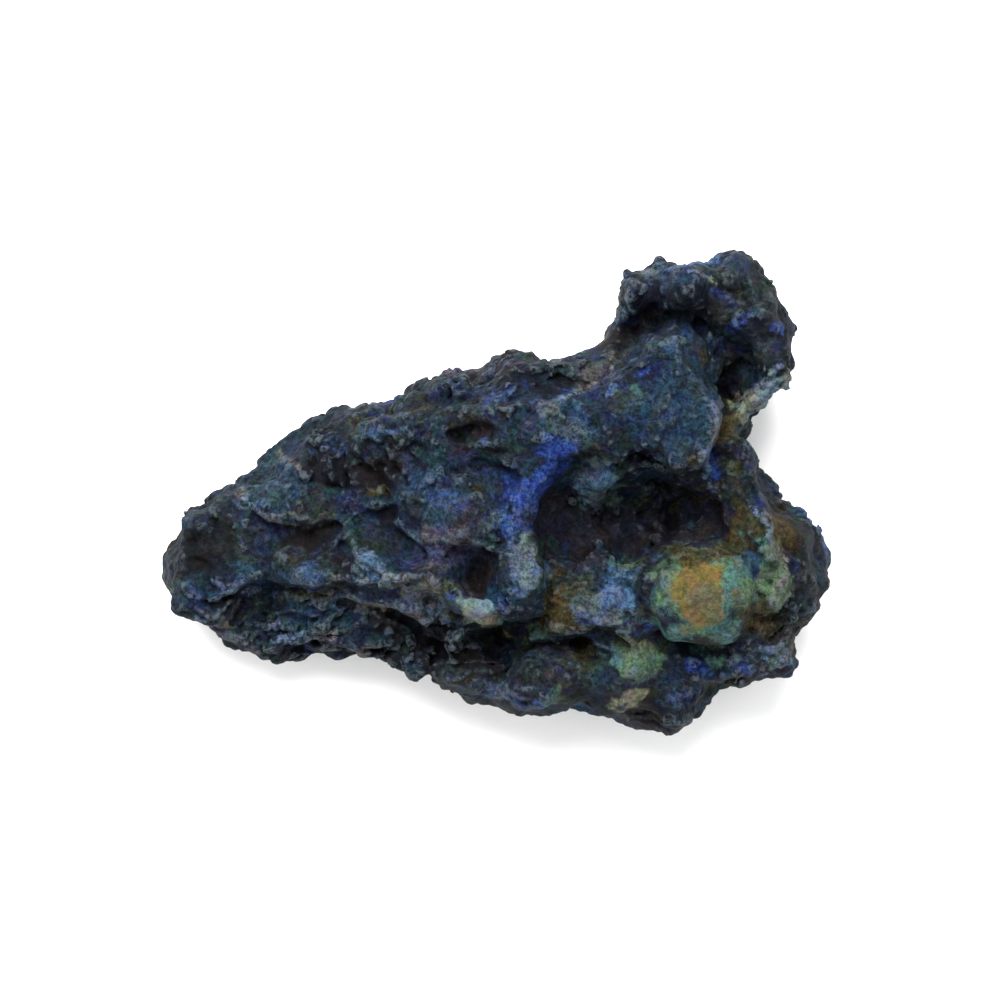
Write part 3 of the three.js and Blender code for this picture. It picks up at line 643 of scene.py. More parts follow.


# --------------------
# Minerals: where each one lies on the face, as ovals seen from above. Each oval has its minerals, strength,
# middle and half sizes, and a turn in degrees where it has one. Noise breaks the ovals up, and away from the
# face minerals are scattered. A warm or cold stain turns whatever lies there warmer or colder. Not all of
# these
# are minerals alone: the near-black and the umber patches are also painted shade in hollows, under lips and
# on shaded walls, the grey fill is painted light that lifts that shade, and the pale and ash greys and the
# worn edges are also painted highlights on lips, rims and lit walls.

PATCHES = [
    # tip
    ("deep", 0.8, -44.5, -9, 5, 4, -40), ("deep", 0.5, -40.5, -2.5, 4, 1.5, 30),
    ("moss", 0.4, -40.5, -9.5, 3.5, 2), ("teal", 0.6, -40, -12, 3.5, 2.5), ("teal", 0.4, -46, -14.5, 3, 2),
    ("umber", 0.9, -45, -10.5, 1.5, 1), ("ash", 0.6, -40.5, -14, 2.5, 0.5, 10),
    ("deep", 0.8, -40.5, -16.5, 3.5, 1.5, 12), ("ash", 0.5, -43.5, -19, 3, 1, -15),
    # knob
    ("teal", 0.7, -33, 1, 5, 4), ("ash", 0.5, -38, -0.5, 1, 2, 15), ("ash", 0.9, -31.5, 5.5, 2.5, 0.5, -35),
    ("ash", 0.55, -31.5, -4, 6, 0.5),
    # hollow between knob and boss
    ("umber", 1.2, -22, 3, 6.5, 3, -10), ("umber", 0.8, -16.5, -3, 2, 4, 10),
    ("umber", 0.9, -29, -6.5, 6, 1.5), ("umber", 0.8, -24, -8.5, 2, 2), ("ochre", 0.9, -18, 0, 2.5, 0.5, 8),
    ("lilac", 0.4, -14.5, 3.5, 1.5, 3),
    # blue ridge
    ("teal sky", 0.9, -18.5, -9.5, 3.5, 2, -30), ("teal", 0.8, -28.5, -11, 5.5, 1.5, -5),
    ("sky", 0.6, -28.5, -11.5, 5, 1), ("deep", 0.6, -24, -11, 3.5, 2),
    # shoulder
    ("moss", 0.7, -11, -14, 6.5, 1.5, -10), ("moss", 0.5, -29, -16, 5.5, 1),
    ("lilac", 0.6, -20, -14, 4.5, 1), ("lilac", 0.7, -17.5, -16.5, 7.5, 1, -8),
    # painted highlights on the band under the shoulder's lip and on the lip itself
    ("pale ash", 1.8, -17.5, -16, 6, 1.5), ("ash", 0.5, -29.5, -15, 6, 1),
    ("ash", 0.7, -11.5, -13.5, 5, 1, -8), ("teal", 0.5, -28, -18, 6, 2), ("deep", 0.7, -34, -17, 4, 1, 10),
    # painted shade under the shoulder's lip, lifted a little by painted fill light
    ("umber gloom", 0.8, -14.5, -19.5, 6, 1.5, -12),
    # lower flank
    ("moss", 0.5, -38.5, -20, 4.5, 2, 10), ("lilac ash", 0.6, -39, -22, 4.5, 1.5, -28),
    ("lilac", 0.5, -25, -23.5, 6, 1, 5), ("deep", 0.5, -26.5, -22.5, 2.5, 1),
    ("pale ash", 0.6, -22, -24.5, 2.5, 1),
    # boss
    ("lilac", 1.2, -7.5, -7.5, 5, 3.5), ("lilac", 0.8, -6, -1, 2, 2), ("teal", 0.55, -10.5, -1, 5, 4),
    ("azurite", 0.45, -6, -0.5, 2, 1.5), ("sky", 0.35, -8.5, 2, 2.5, 1.5), ("ash", 0.5, -7, -7, 3, 1),
    ("ash", 0.5, -13, -5.5, 2, 1, -30),
    # upper flank
    ("deep", 1.3, -24, 8, 3.5, 2), ("deep", 0.5, -29.5, 10.5, 3.5, 1, 30),
    ("azurite", 0.3, -25, 8, 2.5, 1, 15), ("moss", 0.5, -22.5, 11, 4, 1),
    ("teal sky", 0.5, -16.5, 10.5, 3, 1), ("deep", 0.5, -11.5, 15, 3.5, 1.5, -15),
    ("moss", 0.5, -11.5, 13.5, 4, 2), ("ochre", 0.4, -11.5, 13.5, 2, 1),
    ("lilac", 0.4, -2.5, 12.5, 4.5, 2.5), ("cold", 0.1, -12, 11, 6, 3),
    # brow
    ("azurite", 0.5, 0.5, 14, 3, 1, 10), ("lilac", 0.7, 3.5, 19.5, 4, 2), ("deep", 1.3, 5, 18.5, 5.5, 2),
    ("umber deep", 0.7, 7.5, 16, 2, 1), ("lilac ash", 0.5, 9.5, 14, 3.5, 1, 25),
    ("azurite", 0.5, 11, 17, 2, 1, 20), ("lilac", 0.7, 15.5, 18.5, 4, 2, 35),
    ("ash", 0.45, 14.5, 19.5, 4, 1, 35), ("teal sky", 0.6, 17.5, 16.5, 1.5, 2),
    # upper face
    ("umber gloom", 1, -2.5, 9.5, 3, 1.5, -5), ("umber", 0.8, 0.5, 6.5, 2, 1), ("azurite", 0.8, -1, 8, 1, 1),
    ("teal", 0.65, 12, 10.5, 4, 3.5), ("sky", 0.35, 12, 10.5, 3, 2.5),
    # rib
    ("azurite", 1.4, 8, 4.5, 4.5, 2, 40), ("azurite", 1, 4.5, -1, 2, 4, -5),
    ("azurite", 0.95, 3.5, -4.5, 2.5, 2.5), ("azurite", 0.6, 1, 0.5, 3, 4), ("sky", 0.4, 0.5, -2, 2, 2),
    ("sky", 0.4, 3.5, -4, 1, 2), ("cold", 0.3, 8, 4, 5, 3, 40), ("cold", 0.1, 3, -2.5, 3, 5),
    # tongue and the hole beside it
    ("umber gloom", 1, -2.5, -12.5, 2, 3.5), ("teal", 1, 5, -10.5, 2, 2.5),
    ("teal", 0.9, 3.5, -15, 3.5, 2.5), ("sky", 1.4, 4.5, -11.5, 2.5, 5.5), ("malachite", 0.5, 7, -13, 1, 4),
    # the pale oval is a painted highlight on the tongue's lip
    ("pale", 1.8, -1.5, -18, 4, 2, -15), ("ochre", 0.8, 2, -20, 1, 1),
    # ledge and cleft
    ("lilac ash", 0.7, -10, -19, 4, 2, -35), ("azurite", 0.6, -7.5, -16, 1, 0.5),
    ("lilac", 0.5, -5.5, -16, 2, 1), ("moss", 0.5, -2.5, -22, 3, 2), ("umber", 0.8, -7, -23.5, 5.5, 2, -30),
    ("umber gloom", 1.3, 0, -26, 1.5, 4.5),
    # vug
    ("umber gloom", 1, 12, -3.5, 6, 6), ("umber gloom", 1, 23, -5, 8.5, 3.5),
    ("umber gloom", 1.2, 31, -4.5, 5, 3.5), ("umber gloom", 0.8, 30.5, 0.5, 3.5, 1),
    ("moss", 0.85, 15.5, 2.5, 4, 3.5, -30), ("malachite sky", 0.8, 16, 1.5, 4, 2.5, -15),
    ("ochre", 0.6, 21, -1, 1.5, 1), ("ochre", 1, 30, -0.5, 4, 0.5, 15), ("deep", 0.6, 29, 2.5, 2.5, 1),
    ("deep", 0.4, 21.5, 7.5, 5, 2),
    # vug floor
    ("moss", 0.6, 12, -14.5, 4, 5.5), ("ochre", 1.2, 10, -16, 2, 5), ("ochre", 0.7, 12, -19.5, 2, 2),
    ("teal", 0.6, 18.5, -12, 3.5, 3.5), ("malachite", 1, 19, -10.5, 2.5, 1),
    ("azurite sky", 1.1, 17.5, -16.5, 4, 3.5), ("azurite", 0.8, 14, -18, 2, 1, -30),
    ("malachite", 0.9, 19, -19, 1.5, 1), ("azurite", 0.6, 22, -20.5, 2, 1),
    ("lilac", 0.5, 21.5, -19.5, 3.5, 2.5), ("deep", 0.6, 23, -14, 1.5, 4), ("teal", 1, 25.5, -15.5, 1.5, 4),
    ("pale ash", 0.55, 13, -20, 3, 1), ("malachite", 1, 7.5, -21, 2, 1), ("warm", 0.15, 11.5, -16.5, 3, 5),
    # nodule
    ("malachite", 0.95, *NODULE_MIDDLE, *NODULE_SIZES), ("tan", 1, 31.5, -16, 4, 4.5, -20),
    ("teal", 0.9, 36.5, -13, 3.5, 5), ("ochre", 0.9, 30.5, -8.5, 4.5, 1.5),
    ("ochre", 0.85, 36, -8.5, 3.5, 1, -20), ("warm", 0.08, *NODULE_MIDDLE, 5, 5),
    # vug end
    ("moss", 0.9, 41, -10, 4.5, 4.5), ("moss", 0.75, 42, -18, 5, 4),
    ("malachite", 1.3, 42.5, -11.5, 2.5, 5, 10), ("malachite", 0.8, 41, -8, 1.5, 2),
    ("ochre", 1, 37, -3, 2, 1.5), ("ochre", 1.3, 39.5, -5, 3.5, 2), ("ochre", 0.7, 45, -5, 2.5, 3.5),
    ("umber", 1, 45, -5, 3, 3), ("ochre", 0.5, 44, -9, 1.5, 3), ("ochre", 0.55, 39.5, -19.5, 3.5, 2.5),
    ("deep", 0.55, 43.5, -18, 2, 4, -20), ("deep", 0.9, 47, -10, 2, 5.5), ("ash", 0.6, 46.5, -20, 1, 4, -25),
    ("ash", 0.5, 42, -8, 1, 4.5, 25), ("warm", 0.5, 45, -5, 3.5, 4), ("warm", 0.2, 42.5, -12, 2.5, 4.5, 10),
    ("warm", 0.1, 47.5, -12, 2.5, 5),
    # wall between vug and horn
    ("moss", 0.8, 36.5, 10.5, 2.5, 3.5, -25), ("moss", 0.7, 37, 3, 3, 3.5),
    ("ochre", 0.8, 35.5, 9.5, 1.5, 3.5, -25), ("ochre", 0.8, 38, 3.5, 1, 3, -10),
    ("umber", 0.8, 36, 6, 2, 2), ("azurite", 0.8, 32.5, 3.5, 1, 3.5), ("ochre", 0.9, 30.5, 4.5, 1, 1),
    # plate
    ("teal", 0.5, 27.5, 13.5, 7, 7.5), ("deep", 0.3, 26, 15, 7.5, 6), ("deep", 1.5, 23, 18.5, 3.5, 2, 15),
    ("azurite", 0.6, 23, 18.5, 2.5, 1, 15), ("deep", 0.5, 24, 15.5, 3, 2, -20),
    ("moss", 0.7, 21.5, 15, 2.5, 2, -30), ("malachite", 0.5, 21.5, 15.5, 2, 1, -30),
    ("teal", 0.7, 29, 22.5, 2.5, 4), ("sky", 0.35, 28.5, 22.5, 2, 2.5), ("teal", 0.5, 33, 15, 1, 6, 5),
    ("ash", 0.6, 33.5, 11, 1, 4), ("cold", 0.25, 23, 18.5, 4, 3, 20), ("cold", 0.15, 18.5, 14, 6, 5),
    # horn
    ("deep", 1.4, 29, 29, 5, 4), ("teal", 0.6, 28, 30.5, 4, 3.5), ("deep", 0.6, 31.5, 25.5, 2, 2),
    ("umber gloom", 0.9, 23.5, 29, 1.5, 3.5), ("umber", 0.9, 19.5, 24, 4.5, 1.5, 30),
    ("umber gloom", 1, 36, 21, 2.5, 4.5), ("ash", 0.4, 18.5, 27.5, 1.5, 4, -20),
    ("deep moss", 0.6, 36, 33.5, 3.5, 2), ("azurite", 0.9, 34.5, 31.5, 1, 1),
    ("azurite", 0.8, 37, 27.5, 1, 1), ("azurite", 0.9, 42, 25, 1, 1), ("teal", 0.4, 37.5, 29, 2.5, 2),
    ("deep", 0.9, 42.5, 27, 3.5, 4.5), ("moss", 0.5, 41, 29, 3, 2.5), ("moss", 0.5, 40, 21.5, 2.5, 2.5),
    ("cold", 0.25, 28, 30.5, 6, 5), ("cold", 0.1, 42.5, 25.5, 5, 5),
    # pale wall under the horn, a painted highlight
    ("pale", 1.8, 42, 16, 5, 2, 50), ("ash", 0.3, 42, 16.5, 4.5, 1.5, 50),
    # low blocks under the vug
    ("moss", 0.6, 6.5, -23.5, 4.5, 2), ("teal", 0.4, 5, -23.5, 3, 4), ("deep", 0.6, 4.5, -27, 2.5, 3),
    ("umber", 0.8, 9.5, -23.5, 6.5, 1), ("lilac", 0.4, 10.5, -26, 2.5, 2.5),
    ("moss", 0.8, 14, -25.5, 2.5, 3), ("ochre", 0.7, 14, -24.5, 1, 2),
    ("moss malachite", 0.6, 9.5, -30.5, 3, 1.5), ("azurite", 0.65, 4.5, -31.5, 3.5, 2),
    ("teal sky", 0.55, 0.5, -30, 2.5, 1.5), ("deep", 0.65, 15, -31.5, 3, 1.5),
    # bay and deck below the nodule
    ("moss", 0.8, 21.5, -24.5, 5, 3.5), ("malachite", 0.8, 21.5, -22.5, 3.5, 1.5, -20),
    ("malachite", 1.2, 23, -25.5, 4, 2.5, 10), ("pale", 0.6, 21.5, -22, 1.5, 1),
    ("umber", 0.5, 30.5, -23, 7, 1), ("deep", 0.75, 30, -24.5, 5, 2.5), ("azurite", 0.6, 31, -26, 1.5, 1),
    # the first oval is a painted highlight along the deck's edge, in pale blue
    ("teal sky", 0.9, 42, -24.5, 4.5, 1, 8), ("azurite", 0.8, 39, -26.5, 2, 1),
    ("ash", 0.5, 37.5, -27.5, 6, 0.5, 5), ("teal", 0.4, 29, -29.5, 2.5, 2), ("azurite", 0.6, 29, -32, 2, 2),
    ("ash", 0.6, 28.5, -36, 2, 1, 30), ("pale", 0.75, 20.5, -31, 3.5, 1, 5), ("warm", 0.2, 20.5, -31, 4, 2),
    # painted shade on the low wall along the bottom edge
    ("umber", 1.4, 23, -34, 5.5, 2, -12),
]
PATCH_RAGGED = [(3.0, 0.2, 71), (1.2, 0.16, 72)]  # waves in their outlines: spacing, share and seed
PATCH_SWAY = [(4.0, 0.7, 73), (1.6, 0.4, 76)]  # waves that bend them: spacing, reach and first seed
SEEN_FACING = (0.05, 0.35)  # how far walls must face up to have the face's minerals
# the painted highlight on worn edges shows only where they face up this far
WORN_HIGHLIGHT_FACING = (0.4, 0.8)  # the same for worn edges
HIDDEN_FROM = (6.0, 9.0)  # depth below the top of the stone over which the face ends
INNER_FROM = (0.9, 1)  # shares of stone round about over which walls count as the face too
# How rare each mineral is away from the face
SCATTER = {"moss": 0.7, "lilac": 1.2, "teal": 0.8, "deep": 0.5, "umber": 1.0, "gloom": 2.5, "azurite": 1.5,
           "malachite": 1.7, "ochre": 1.8, "tan": 3.2, "sky": 1.3, "pale": 2.2, "ash": 1.2}
SCATTER_SPACING = 7.0
SCATTER_SEED = 80
SCATTER_EDGE = (-0.5, 0.7)  # levels round its rarity between which a mineral sets in
SCATTER_STRENGTH = 0.8
# How much stone there is round about: radius, softness of the surface, and step on the grid
STONE_NEAR = (0.6, 0.4, 1)
STONE_ROUND = (2.4, 1.0, 2)
ROUND_STEP = STONE_ROUND[2]


def patches_of(mineral):
    """The ovals of one mineral, or of one kind of stain."""
    return [oval for minerals, *oval in PATCHES if mineral in minerals.split()]


def waves_at(points, waves):
    """The sum of several waves of noise at points."""
    return sum(height * sampled(noise(spacing, seed), points) for spacing, height, seed in waves)


def add_minerals(mesh, field, points):
    """Gives each corner the strength of each mineral and of the painted shade and highlights, and how far it
    stands out or lies back.
    """
    top = flat(blurred_top(field, 0.5))
    covered = smoothstep(*HIDDEN_FROM, sampled(top, points) - points[:, 2])
    inner = sampled(flat(stone_share(field, OUTLINE_WIDTH)), points)
    solid = solidity(field, *STONE_ROUND)
    up = facing_up(solid, points, ROUND_STEP)
    face = (1 - covered) * np.maximum(smoothstep(*SEEN_FACING, up), smoothstep(*INNER_FROM, inner))
    x, y = (points[:, n] + waves_at(points, [(wave, reach, seed + n) for wave, reach, seed in PATCH_SWAY])
            for n in (0, 1))
    ragged = waves_at(points, PATCH_RAGGED)
    for n, (mineral, rare) in enumerate(SCATTER.items()):
        level = sampled(noise(SCATTER_SPACING, SCATTER_SEED + n), points)
        scattered = smoothstep(rare + SCATTER_EDGE[0], rare + SCATTER_EDGE[1], level)
        here = ovals_weight(patches_of(mineral), x, y, ragged)
        add_attribute(mesh, mineral, face * here + (1 - face) * SCATTER_STRENGTH * scattered)
    warm, cold = (ovals_weight(patches_of(stain), x, y) for stain in ("warm", "cold"))
    add_attribute(mesh, "stain", face * (warm - cold))
    # Worn edges get a painted highlight, only where they face up
    worn_highlight = worn_highlight_weight(*swayed(points[:, 0], points[:, 1]))
    add_attribute(mesh, "worn_highlight", smoothstep(*WORN_HIGHLIGHT_FACING, up) * worn_highlight)
    add_attribute(mesh, "relief", 2 * sampled(solidity(field, *STONE_NEAR), points) - 1)
    add_attribute(mesh, "hollow", 2 * sampled(solid, points, ROUND_STEP) - 1)


def flat(plan):
    """A map of the floor as a field of two equal layers."""
    return np.repeat(plan[:, :, None], 2, axis=2)


def worn_highlight_weight(x, y):
    """How much places seen from above belong to the worn edges and their painted highlight."""
    weight = np.zeros(len(x))
    for points, width in WORN_HIGHLIGHT_LINES:
        low, high = np.min(points, axis=0) - STROKE_SPARE, np.max(points, axis=0) + STROKE_SPARE
        near = np.nonzero((x > low[0]) & (x < high[0]) & (y > low[1]) & (y < high[1]))[0]
        side, share = offset_from(points, x[near], y[near])
        ends = smoothstep(0, STROKE_ENDS, np.minimum(share, 1 - share))
        weight[near] = np.maximum(weight[near], ends * smoothstep(WORN_HIGHLIGHT_FRINGE * width, 0, np.abs(side)))
    return weight


def solidity(field, radius, soft, step):
    """The share of the space round each place that is stone, on every step-th point of the grid."""
    return blurred(np.clip(0.5 - field[::step, ::step, ::step] / (2 * soft), 0, 1), radius / step)


def facing_up(solid, points, step):
    """How much the stone faces up round points, from -1 to 1."""
    falls = [sampled(solid, points - side, step) - sampled(solid, points + side, step) for side in np.eye(3)]
    return falls[2] / np.maximum(np.linalg.norm(falls, axis=0), 1e-4)


def add_attribute(mesh, name, values):
    attribute = mesh.attributes.new(name, "FLOAT", "POINT")
    attribute.data.foreach_set("value", np.asarray(values, np.float32))


# --------------------
# Stone material

# Dark and light tone of each mineral, as screen colours from 0 to 255 under the studio's light
STUDIO_LIGHT = 3.7
TONES = {
    "slate": ((17, 24, 33), (58, 75, 93)),
    "navy": ((18, 20, 46), (54, 64, 116)),
    "fern": ((16, 32, 34), (54, 88, 90)),
    "plum": ((26, 22, 34), (72, 64, 84)),
    "bark": ((26, 28, 22), (72, 76, 62)),
    "moss": ((38, 46, 38), (96, 108, 88)),
    "lilac": ((44, 44, 60), (104, 104, 128)),
    "teal": ((20, 42, 62), (70, 108, 136)),
    # near-black rock, which is also painted shade below lips and on shaded sides
    "deep": ((12, 16, 22), (38, 47, 57)),
    # dark brown lining of the hollows, which is also painted shade in recesses, under lips and on the low
    # wall at the bottom
    "umber": ((18, 17, 23), (38, 37, 46)),
    # painted fill light that lifts the shade in hollows, and a rare grey away from the face
    "gloom": ((36, 35, 42), (68, 66, 77)),
    "azurite": ((26, 34, 88), (80, 114, 184)),
    "malachite": ((66, 98, 86), (126, 164, 148)),
    "ochre": ((42, 39, 24), (104, 97, 62)),
    "tan": ((108, 99, 60), (156, 142, 92)),
    "sky": ((56, 78, 100), (132, 158, 184)),
    # pale crust, which is also painted highlights on lips and on the lit wall under the horn
    "pale": ((108, 120, 114), (184, 196, 184)),
    # grey crust, which is also painted highlights along lips and rims
    "ash": ((54, 60, 66), (138, 144, 150)),
    # painted highlight on worn edges
    "worn_highlight": ((70, 80, 90), (160, 170, 178)),
}
# Tints of the bare rock: waves per millimetre and the span of the noise over which each sets in
TINTS = [("navy", 0.3, 0.5, 0.62), ("fern", 0.26, 0.48, 0.6), ("plum", 0.4, 0.53, 0.66),
         ("bark", 0.34, 0.54, 0.66)]
# Tinges of every colour: waves per millimetre, how much they follow the stains, and the factors at the ends
TINGES = [
    (0.16, 1, (0.78, 1.0, 1.36), (1.22, 1.0, 0.76)),
    (0.42, 0, (1.07, 0.92, 1.08), (0.93, 1.1, 0.94)),
]
BREAKUP_PER_MM = 0.9
# Width of the broken border of each mineral's patches
BREAKUP = {"moss": 0.9, "lilac": 0.9, "teal": 0.9, "deep": 0.9, "umber": 0.6, "gloom": 0.6, "azurite": 0.9,
           "malachite": 0.8, "ochre": 0.8, "tan": 1.3, "sky": 1.1, "pale": 0.8, "ash": 1.1, "worn_highlight": 2.6}
PATCH_SPAN = (0.1, 0.9)  # levels of broken strength between which a mineral sets in
PATCH_BOUND = (0.0, 0.3)  # the same for its unbroken strength
TINGE_SPAN = (0.38, 0.62)
GRAIN_PER_MM = 1.3
SPECK_PER_MM = 4.0
TONE_SPAN = (0.4, 0.62)  # levels of grain and specks from dark to light
# Dirt and painted shade in hollows: colour, spans of fine relief and of wide hollows, and how much the wide
# ones count
DIRT_AND_SHADE = (190, 186, 192)
DIRT_AND_SHADE_RELIEF = (0.05, 0.4)
DIRT_AND_SHADE_HOLLOW = (0.1, 0.5)
DIRT_AND_SHADE_WIDE = 0.3
# Rubbed tips of the bumps, worn and with a painted glint: colour, spans of relief and of grain, and strength
RUBBED_AND_GLINT = (124, 140, 152)
RUBBED_AND_GLINT_RELIEF = (-0.1, -0.4)
RUBBED_AND_GLINT_GRAIN = (0.42, 0.58)
RUBBED_AND_GLINT_STRENGTH = 0.6
ROUGHNESS = (0.5, 0.9)
GLOSS = 0.07
BUMP_DEPTH = 0.5
OWN_FRAME = 3  # the output with places in the object's own frame


def linear(colour, light=STUDIO_LIGHT):
    """The surface colour that looks like a screen colour from 0 to 255 under so much light."""
    share = np.array(colour) / 255
    straight = np.where(share <= 0.04045, share / 12.92, ((share + 0.055) / 1.055) ** 2.4)
    return (*(straight / light).tolist(), 1)


class Nodes:
    """Makes the nodes of a material; an input may be a number, a colour or another node's output."""

    def __init__(self, material):
        material.use_nodes = True
        self.tree = material.node_tree

    def add(self, kind, output=0, settings=None, **inputs):
        made = self.tree.nodes.new("ShaderNode" + kind)
        for name, value in (settings or {}).items():
            setattr(made, name, value)
        for name, value in inputs.items():
            key = int(name[1:]) if name[0] == "i" and name[1:].isdigit() else name.replace("_", " ")
            self.join(value, made.inputs[key])
        return made.outputs[output]

    def join(self, value, socket):
        if isinstance(value, bpy.types.NodeSocket):
            self.tree.links.new(value, socket)
        else:
            socket.default_value = value

    def attribute(self, name):
        return self.add("Attribute", output=2, settings={"attribute_name": name})

    def maths(self, operation, a, b):
        return self.add("Math", settings={"operation": operation}, i0=a, i1=b)

    def times(self, a, b):
        return self.maths("MULTIPLY", a, b)

    def weighted(self, a, share_a, b, share_b):
        return self.maths("ADD", self.times(a, share_a), self.times(b, share_b))

    def mix(self, factor, a, b):
        return self.add("Mix", output=2, settings={"data_type": "RGBA"}, i0=factor, i6=a, i7=b)

    def toned(self, tone, mineral):
        """The colour of a mineral between its dark and its light tone."""
        dark, light = TONES[mineral]
        return self.mix(tone, linear(dark), linear(light))

    def blend(self, operation, factor, a, b):
        settings = {"data_type": "RGBA", "blend_type": operation}
        return self.add("Mix", output=2, settings=settings, i0=factor, i6=a, i7=b)

    def moved(self, place, shift):
        return self.add("VectorMath", settings={"operation": "ADD"}, i0=place, i1=shift)

    def noise(self, place, per_mm, detail=4.0, rough=0.6, twist=0.0):
        return self.add("TexNoise", Vector=place, Scale=per_mm, Detail=detail, Roughness=rough,
                        Distortion=twist)

    def between(self, value, low, high):
        return self.add("MapRange", settings={"interpolation_type": "SMOOTHSTEP"}, Value=value,
                        From_Min=low, From_Max=high)


def stone_material():
    material = bpy.data.materials.new("stone")
    nodes = Nodes(material)
    shader = nodes.tree.nodes["Principled BSDF"]
    place = nodes.add("TexCoord", output=OWN_FRAME)
    place = nodes.add("VectorMath", settings={"operation": "SCALE"}, i0=place, Scale=1 / MM)

    grain = nodes.noise(place, GRAIN_PER_MM, detail=6, rough=0.72)
    speck = nodes.noise(place, SPECK_PER_MM, detail=3, rough=0.7)
    tone = nodes.between(nodes.weighted(speck, 0.3, grain, 0.7), *TONE_SPAN)

    colour = nodes.toned(tone, "slate")
    # Each tint and each mineral reads its noise in a place of its own
    for n, (tint, per_mm, low, high) in enumerate(TINTS):
        shifted = nodes.moved(place, (11 * n, -5 * n, 2))
        blotch = nodes.noise(shifted, per_mm, detail=5, rough=0.65, twist=0.5)
        colour = nodes.mix(nodes.between(blotch, low, high), colour, nodes.toned(tone, tint))
    for n, mineral in enumerate(BREAKUP):
        strength = nodes.attribute(mineral)
        shifted = nodes.moved(place, (7 * n, 3 * n, 0))
        breakup = nodes.noise(shifted, BREAKUP_PER_MM, detail=5, rough=0.7, twist=0.4)
        uneven = nodes.times(nodes.maths("SUBTRACT", breakup, 0.5), 2 * BREAKUP[mineral])
        broken = nodes.maths("ADD", strength, uneven)
        bound = nodes.between(strength, *PATCH_BOUND)
        factor = nodes.times(nodes.between(broken, *PATCH_SPAN), bound)
        colour = nodes.mix(factor, colour, nodes.toned(tone, mineral))

    relief, hollow, stain = (nodes.attribute(name) for name in ("relief", "hollow", "stain"))
    for per_mm, stained, cold, warm in TINGES:
        waves = nodes.noise(place, per_mm, detail=3, rough=0.6)
        shifted = nodes.maths("ADD", waves, nodes.times(stain, stained))
        tinge = nodes.between(shifted, *TINGE_SPAN)
        colour = nodes.blend("MULTIPLY", 1.0, colour, nodes.mix(tinge, (*cold, 1), (*warm, 1)))
    # Hollows are darkened, as dirt and as painted shade
    wide = nodes.times(nodes.between(hollow, *DIRT_AND_SHADE_HOLLOW), DIRT_AND_SHADE_WIDE)
    dirt_and_shade = nodes.maths("MAXIMUM", nodes.between(relief, *DIRT_AND_SHADE_RELIEF), wide)
    colour = nodes.blend("MULTIPLY", dirt_and_shade, colour, linear(DIRT_AND_SHADE, 1))
    # Tips of the bumps are lightened, as wear and as a painted glint
    rubbed_and_glint = nodes.between(relief, *RUBBED_AND_GLINT_RELIEF)
    rubbed_and_glint = nodes.times(rubbed_and_glint, nodes.between(grain, *RUBBED_AND_GLINT_GRAIN))
    colour = nodes.mix(nodes.times(rubbed_and_glint, RUBBED_AND_GLINT_STRENGTH), colour, linear(RUBBED_AND_GLINT))

    nodes.join(colour, shader.inputs["Base Color"])
    smooth, rough = ROUGHNESS
    nodes.join(nodes.add("MapRange", Value=grain, To_Min=smooth, To_Max=rough), shader.inputs["Roughness"])
    shader.inputs["Specular IOR Level"].default_value = GLOSS
    height = nodes.weighted(grain, 0.6, speck, 0.4)
    bump = nodes.add("Bump", Strength=1.0, Distance=BUMP_DEPTH * MM, Height=height)
    nodes.join(bump, shader.inputs["Normal"])
    return material


# --------------------
# Room, in metres

FLOOR_HALF = 1.5
PAPER_DARK = (0.91, 0.91, 0.91, 1)
PAPER_LIGHT = (0.95, 0.95, 0.95, 1)
FIBRES_PER_METRE = 900.0
SKY_STRENGTH = 1.35
KEY_PLACE = (-0.1, 0.45, 0.7)
KEY_TARGET = (0, 0, 0.02)
KEY_SIZE = 0.7
KEY_POWER = 21
SENSOR_WIDTH = 36  # in millimetres of the camera
FRAME_WIDTH = 150.0 * MM  # what the camera takes in at the middle of the stone's height
CAMERA_DISTANCE = 1.2
CAMERA_OVER = (0.7 * MM, -1.0 * MM, 18 * MM)  # the place that it looks down on


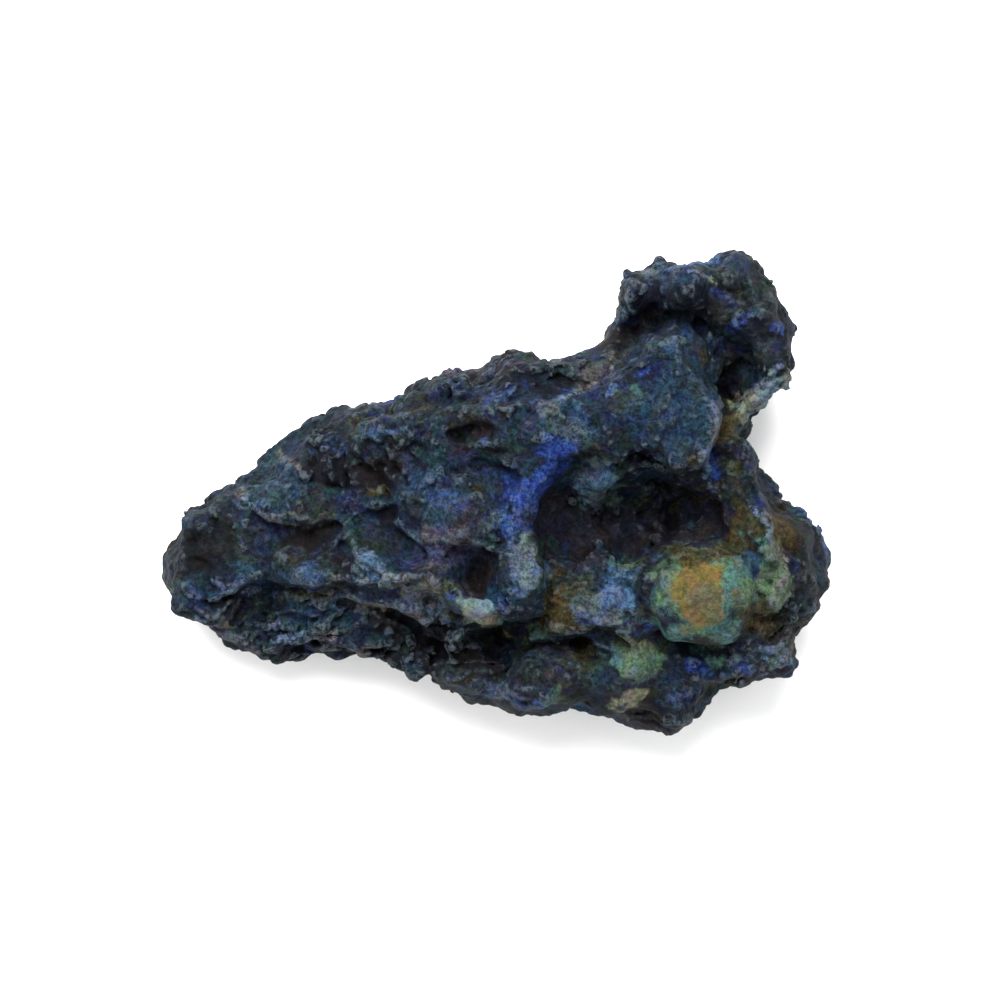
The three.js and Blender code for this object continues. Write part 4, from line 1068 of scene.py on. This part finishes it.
def paper_material():
    """Matt white paper with a faint grain."""
    material = bpy.data.materials.new("paper")
    nodes = Nodes(material)
    shader = nodes.tree.nodes["Principled BSDF"]
    place = nodes.add("TexCoord", output=OWN_FRAME)
    fibre = nodes.noise(place, FIBRES_PER_METRE, detail=5, rough=0.7)
    nodes.join(nodes.mix(fibre, PAPER_DARK, PAPER_LIGHT), shader.inputs["Base Color"])
    nodes.join(nodes.add("MapRange", Value=fibre, To_Min=0.8, To_Max=0.95), shader.inputs["Roughness"])
    nodes.join(nodes.add("Bump", Strength=0.2, Distance=0.05 * MM, Height=fibre), shader.inputs["Normal"])
    return material


def build_room():
    floor_mesh = bpy.data.meshes.new("floor")
    corners = [(FLOOR_HALF * x, FLOOR_HALF * y, 0) for x, y in ((-1, -1), (1, -1), (1, 1), (-1, 1))]
    floor_mesh.from_pydata(corners, [], [(0, 1, 2, 3)])
    floor = placed("floor", floor_mesh)
    floor.data.materials.append(paper_material())

    world = bpy.data.worlds.new("studio")
    world.use_nodes = True
    background = world.node_tree.nodes["Background"]
    background.inputs["Color"].default_value = (1, 1, 1, 1)
    background.inputs["Strength"].default_value = SKY_STRENGTH
    bpy.context.scene.world = world
    bpy.context.scene.view_settings.view_transform = "Standard"

    light = bpy.data.lights.new("key", "AREA")
    light.shape = "DISK"
    light.size = KEY_SIZE
    light.energy = KEY_POWER
    key = placed("key", light)
    key.location = KEY_PLACE
    key.rotation_mode = "QUATERNION"
    key.rotation_quaternion = (Vector(KEY_TARGET) - Vector(KEY_PLACE)).to_track_quat("-Z", "Y")

    lens = bpy.data.cameras.new("camera")
    lens.sensor_width = SENSOR_WIDTH
    lens.lens = SENSOR_WIDTH * CAMERA_DISTANCE / FRAME_WIDTH
    lens.clip_end = 10
    camera = placed("camera", lens)
    x, y, z = CAMERA_OVER
    camera.location = (x, y, z + CAMERA_DISTANCE)
    bpy.context.scene.camera = camera


stone = build_stone()
stone.data.materials.append(stone_material())
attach(stone, "root")
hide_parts("geode")
build_room()
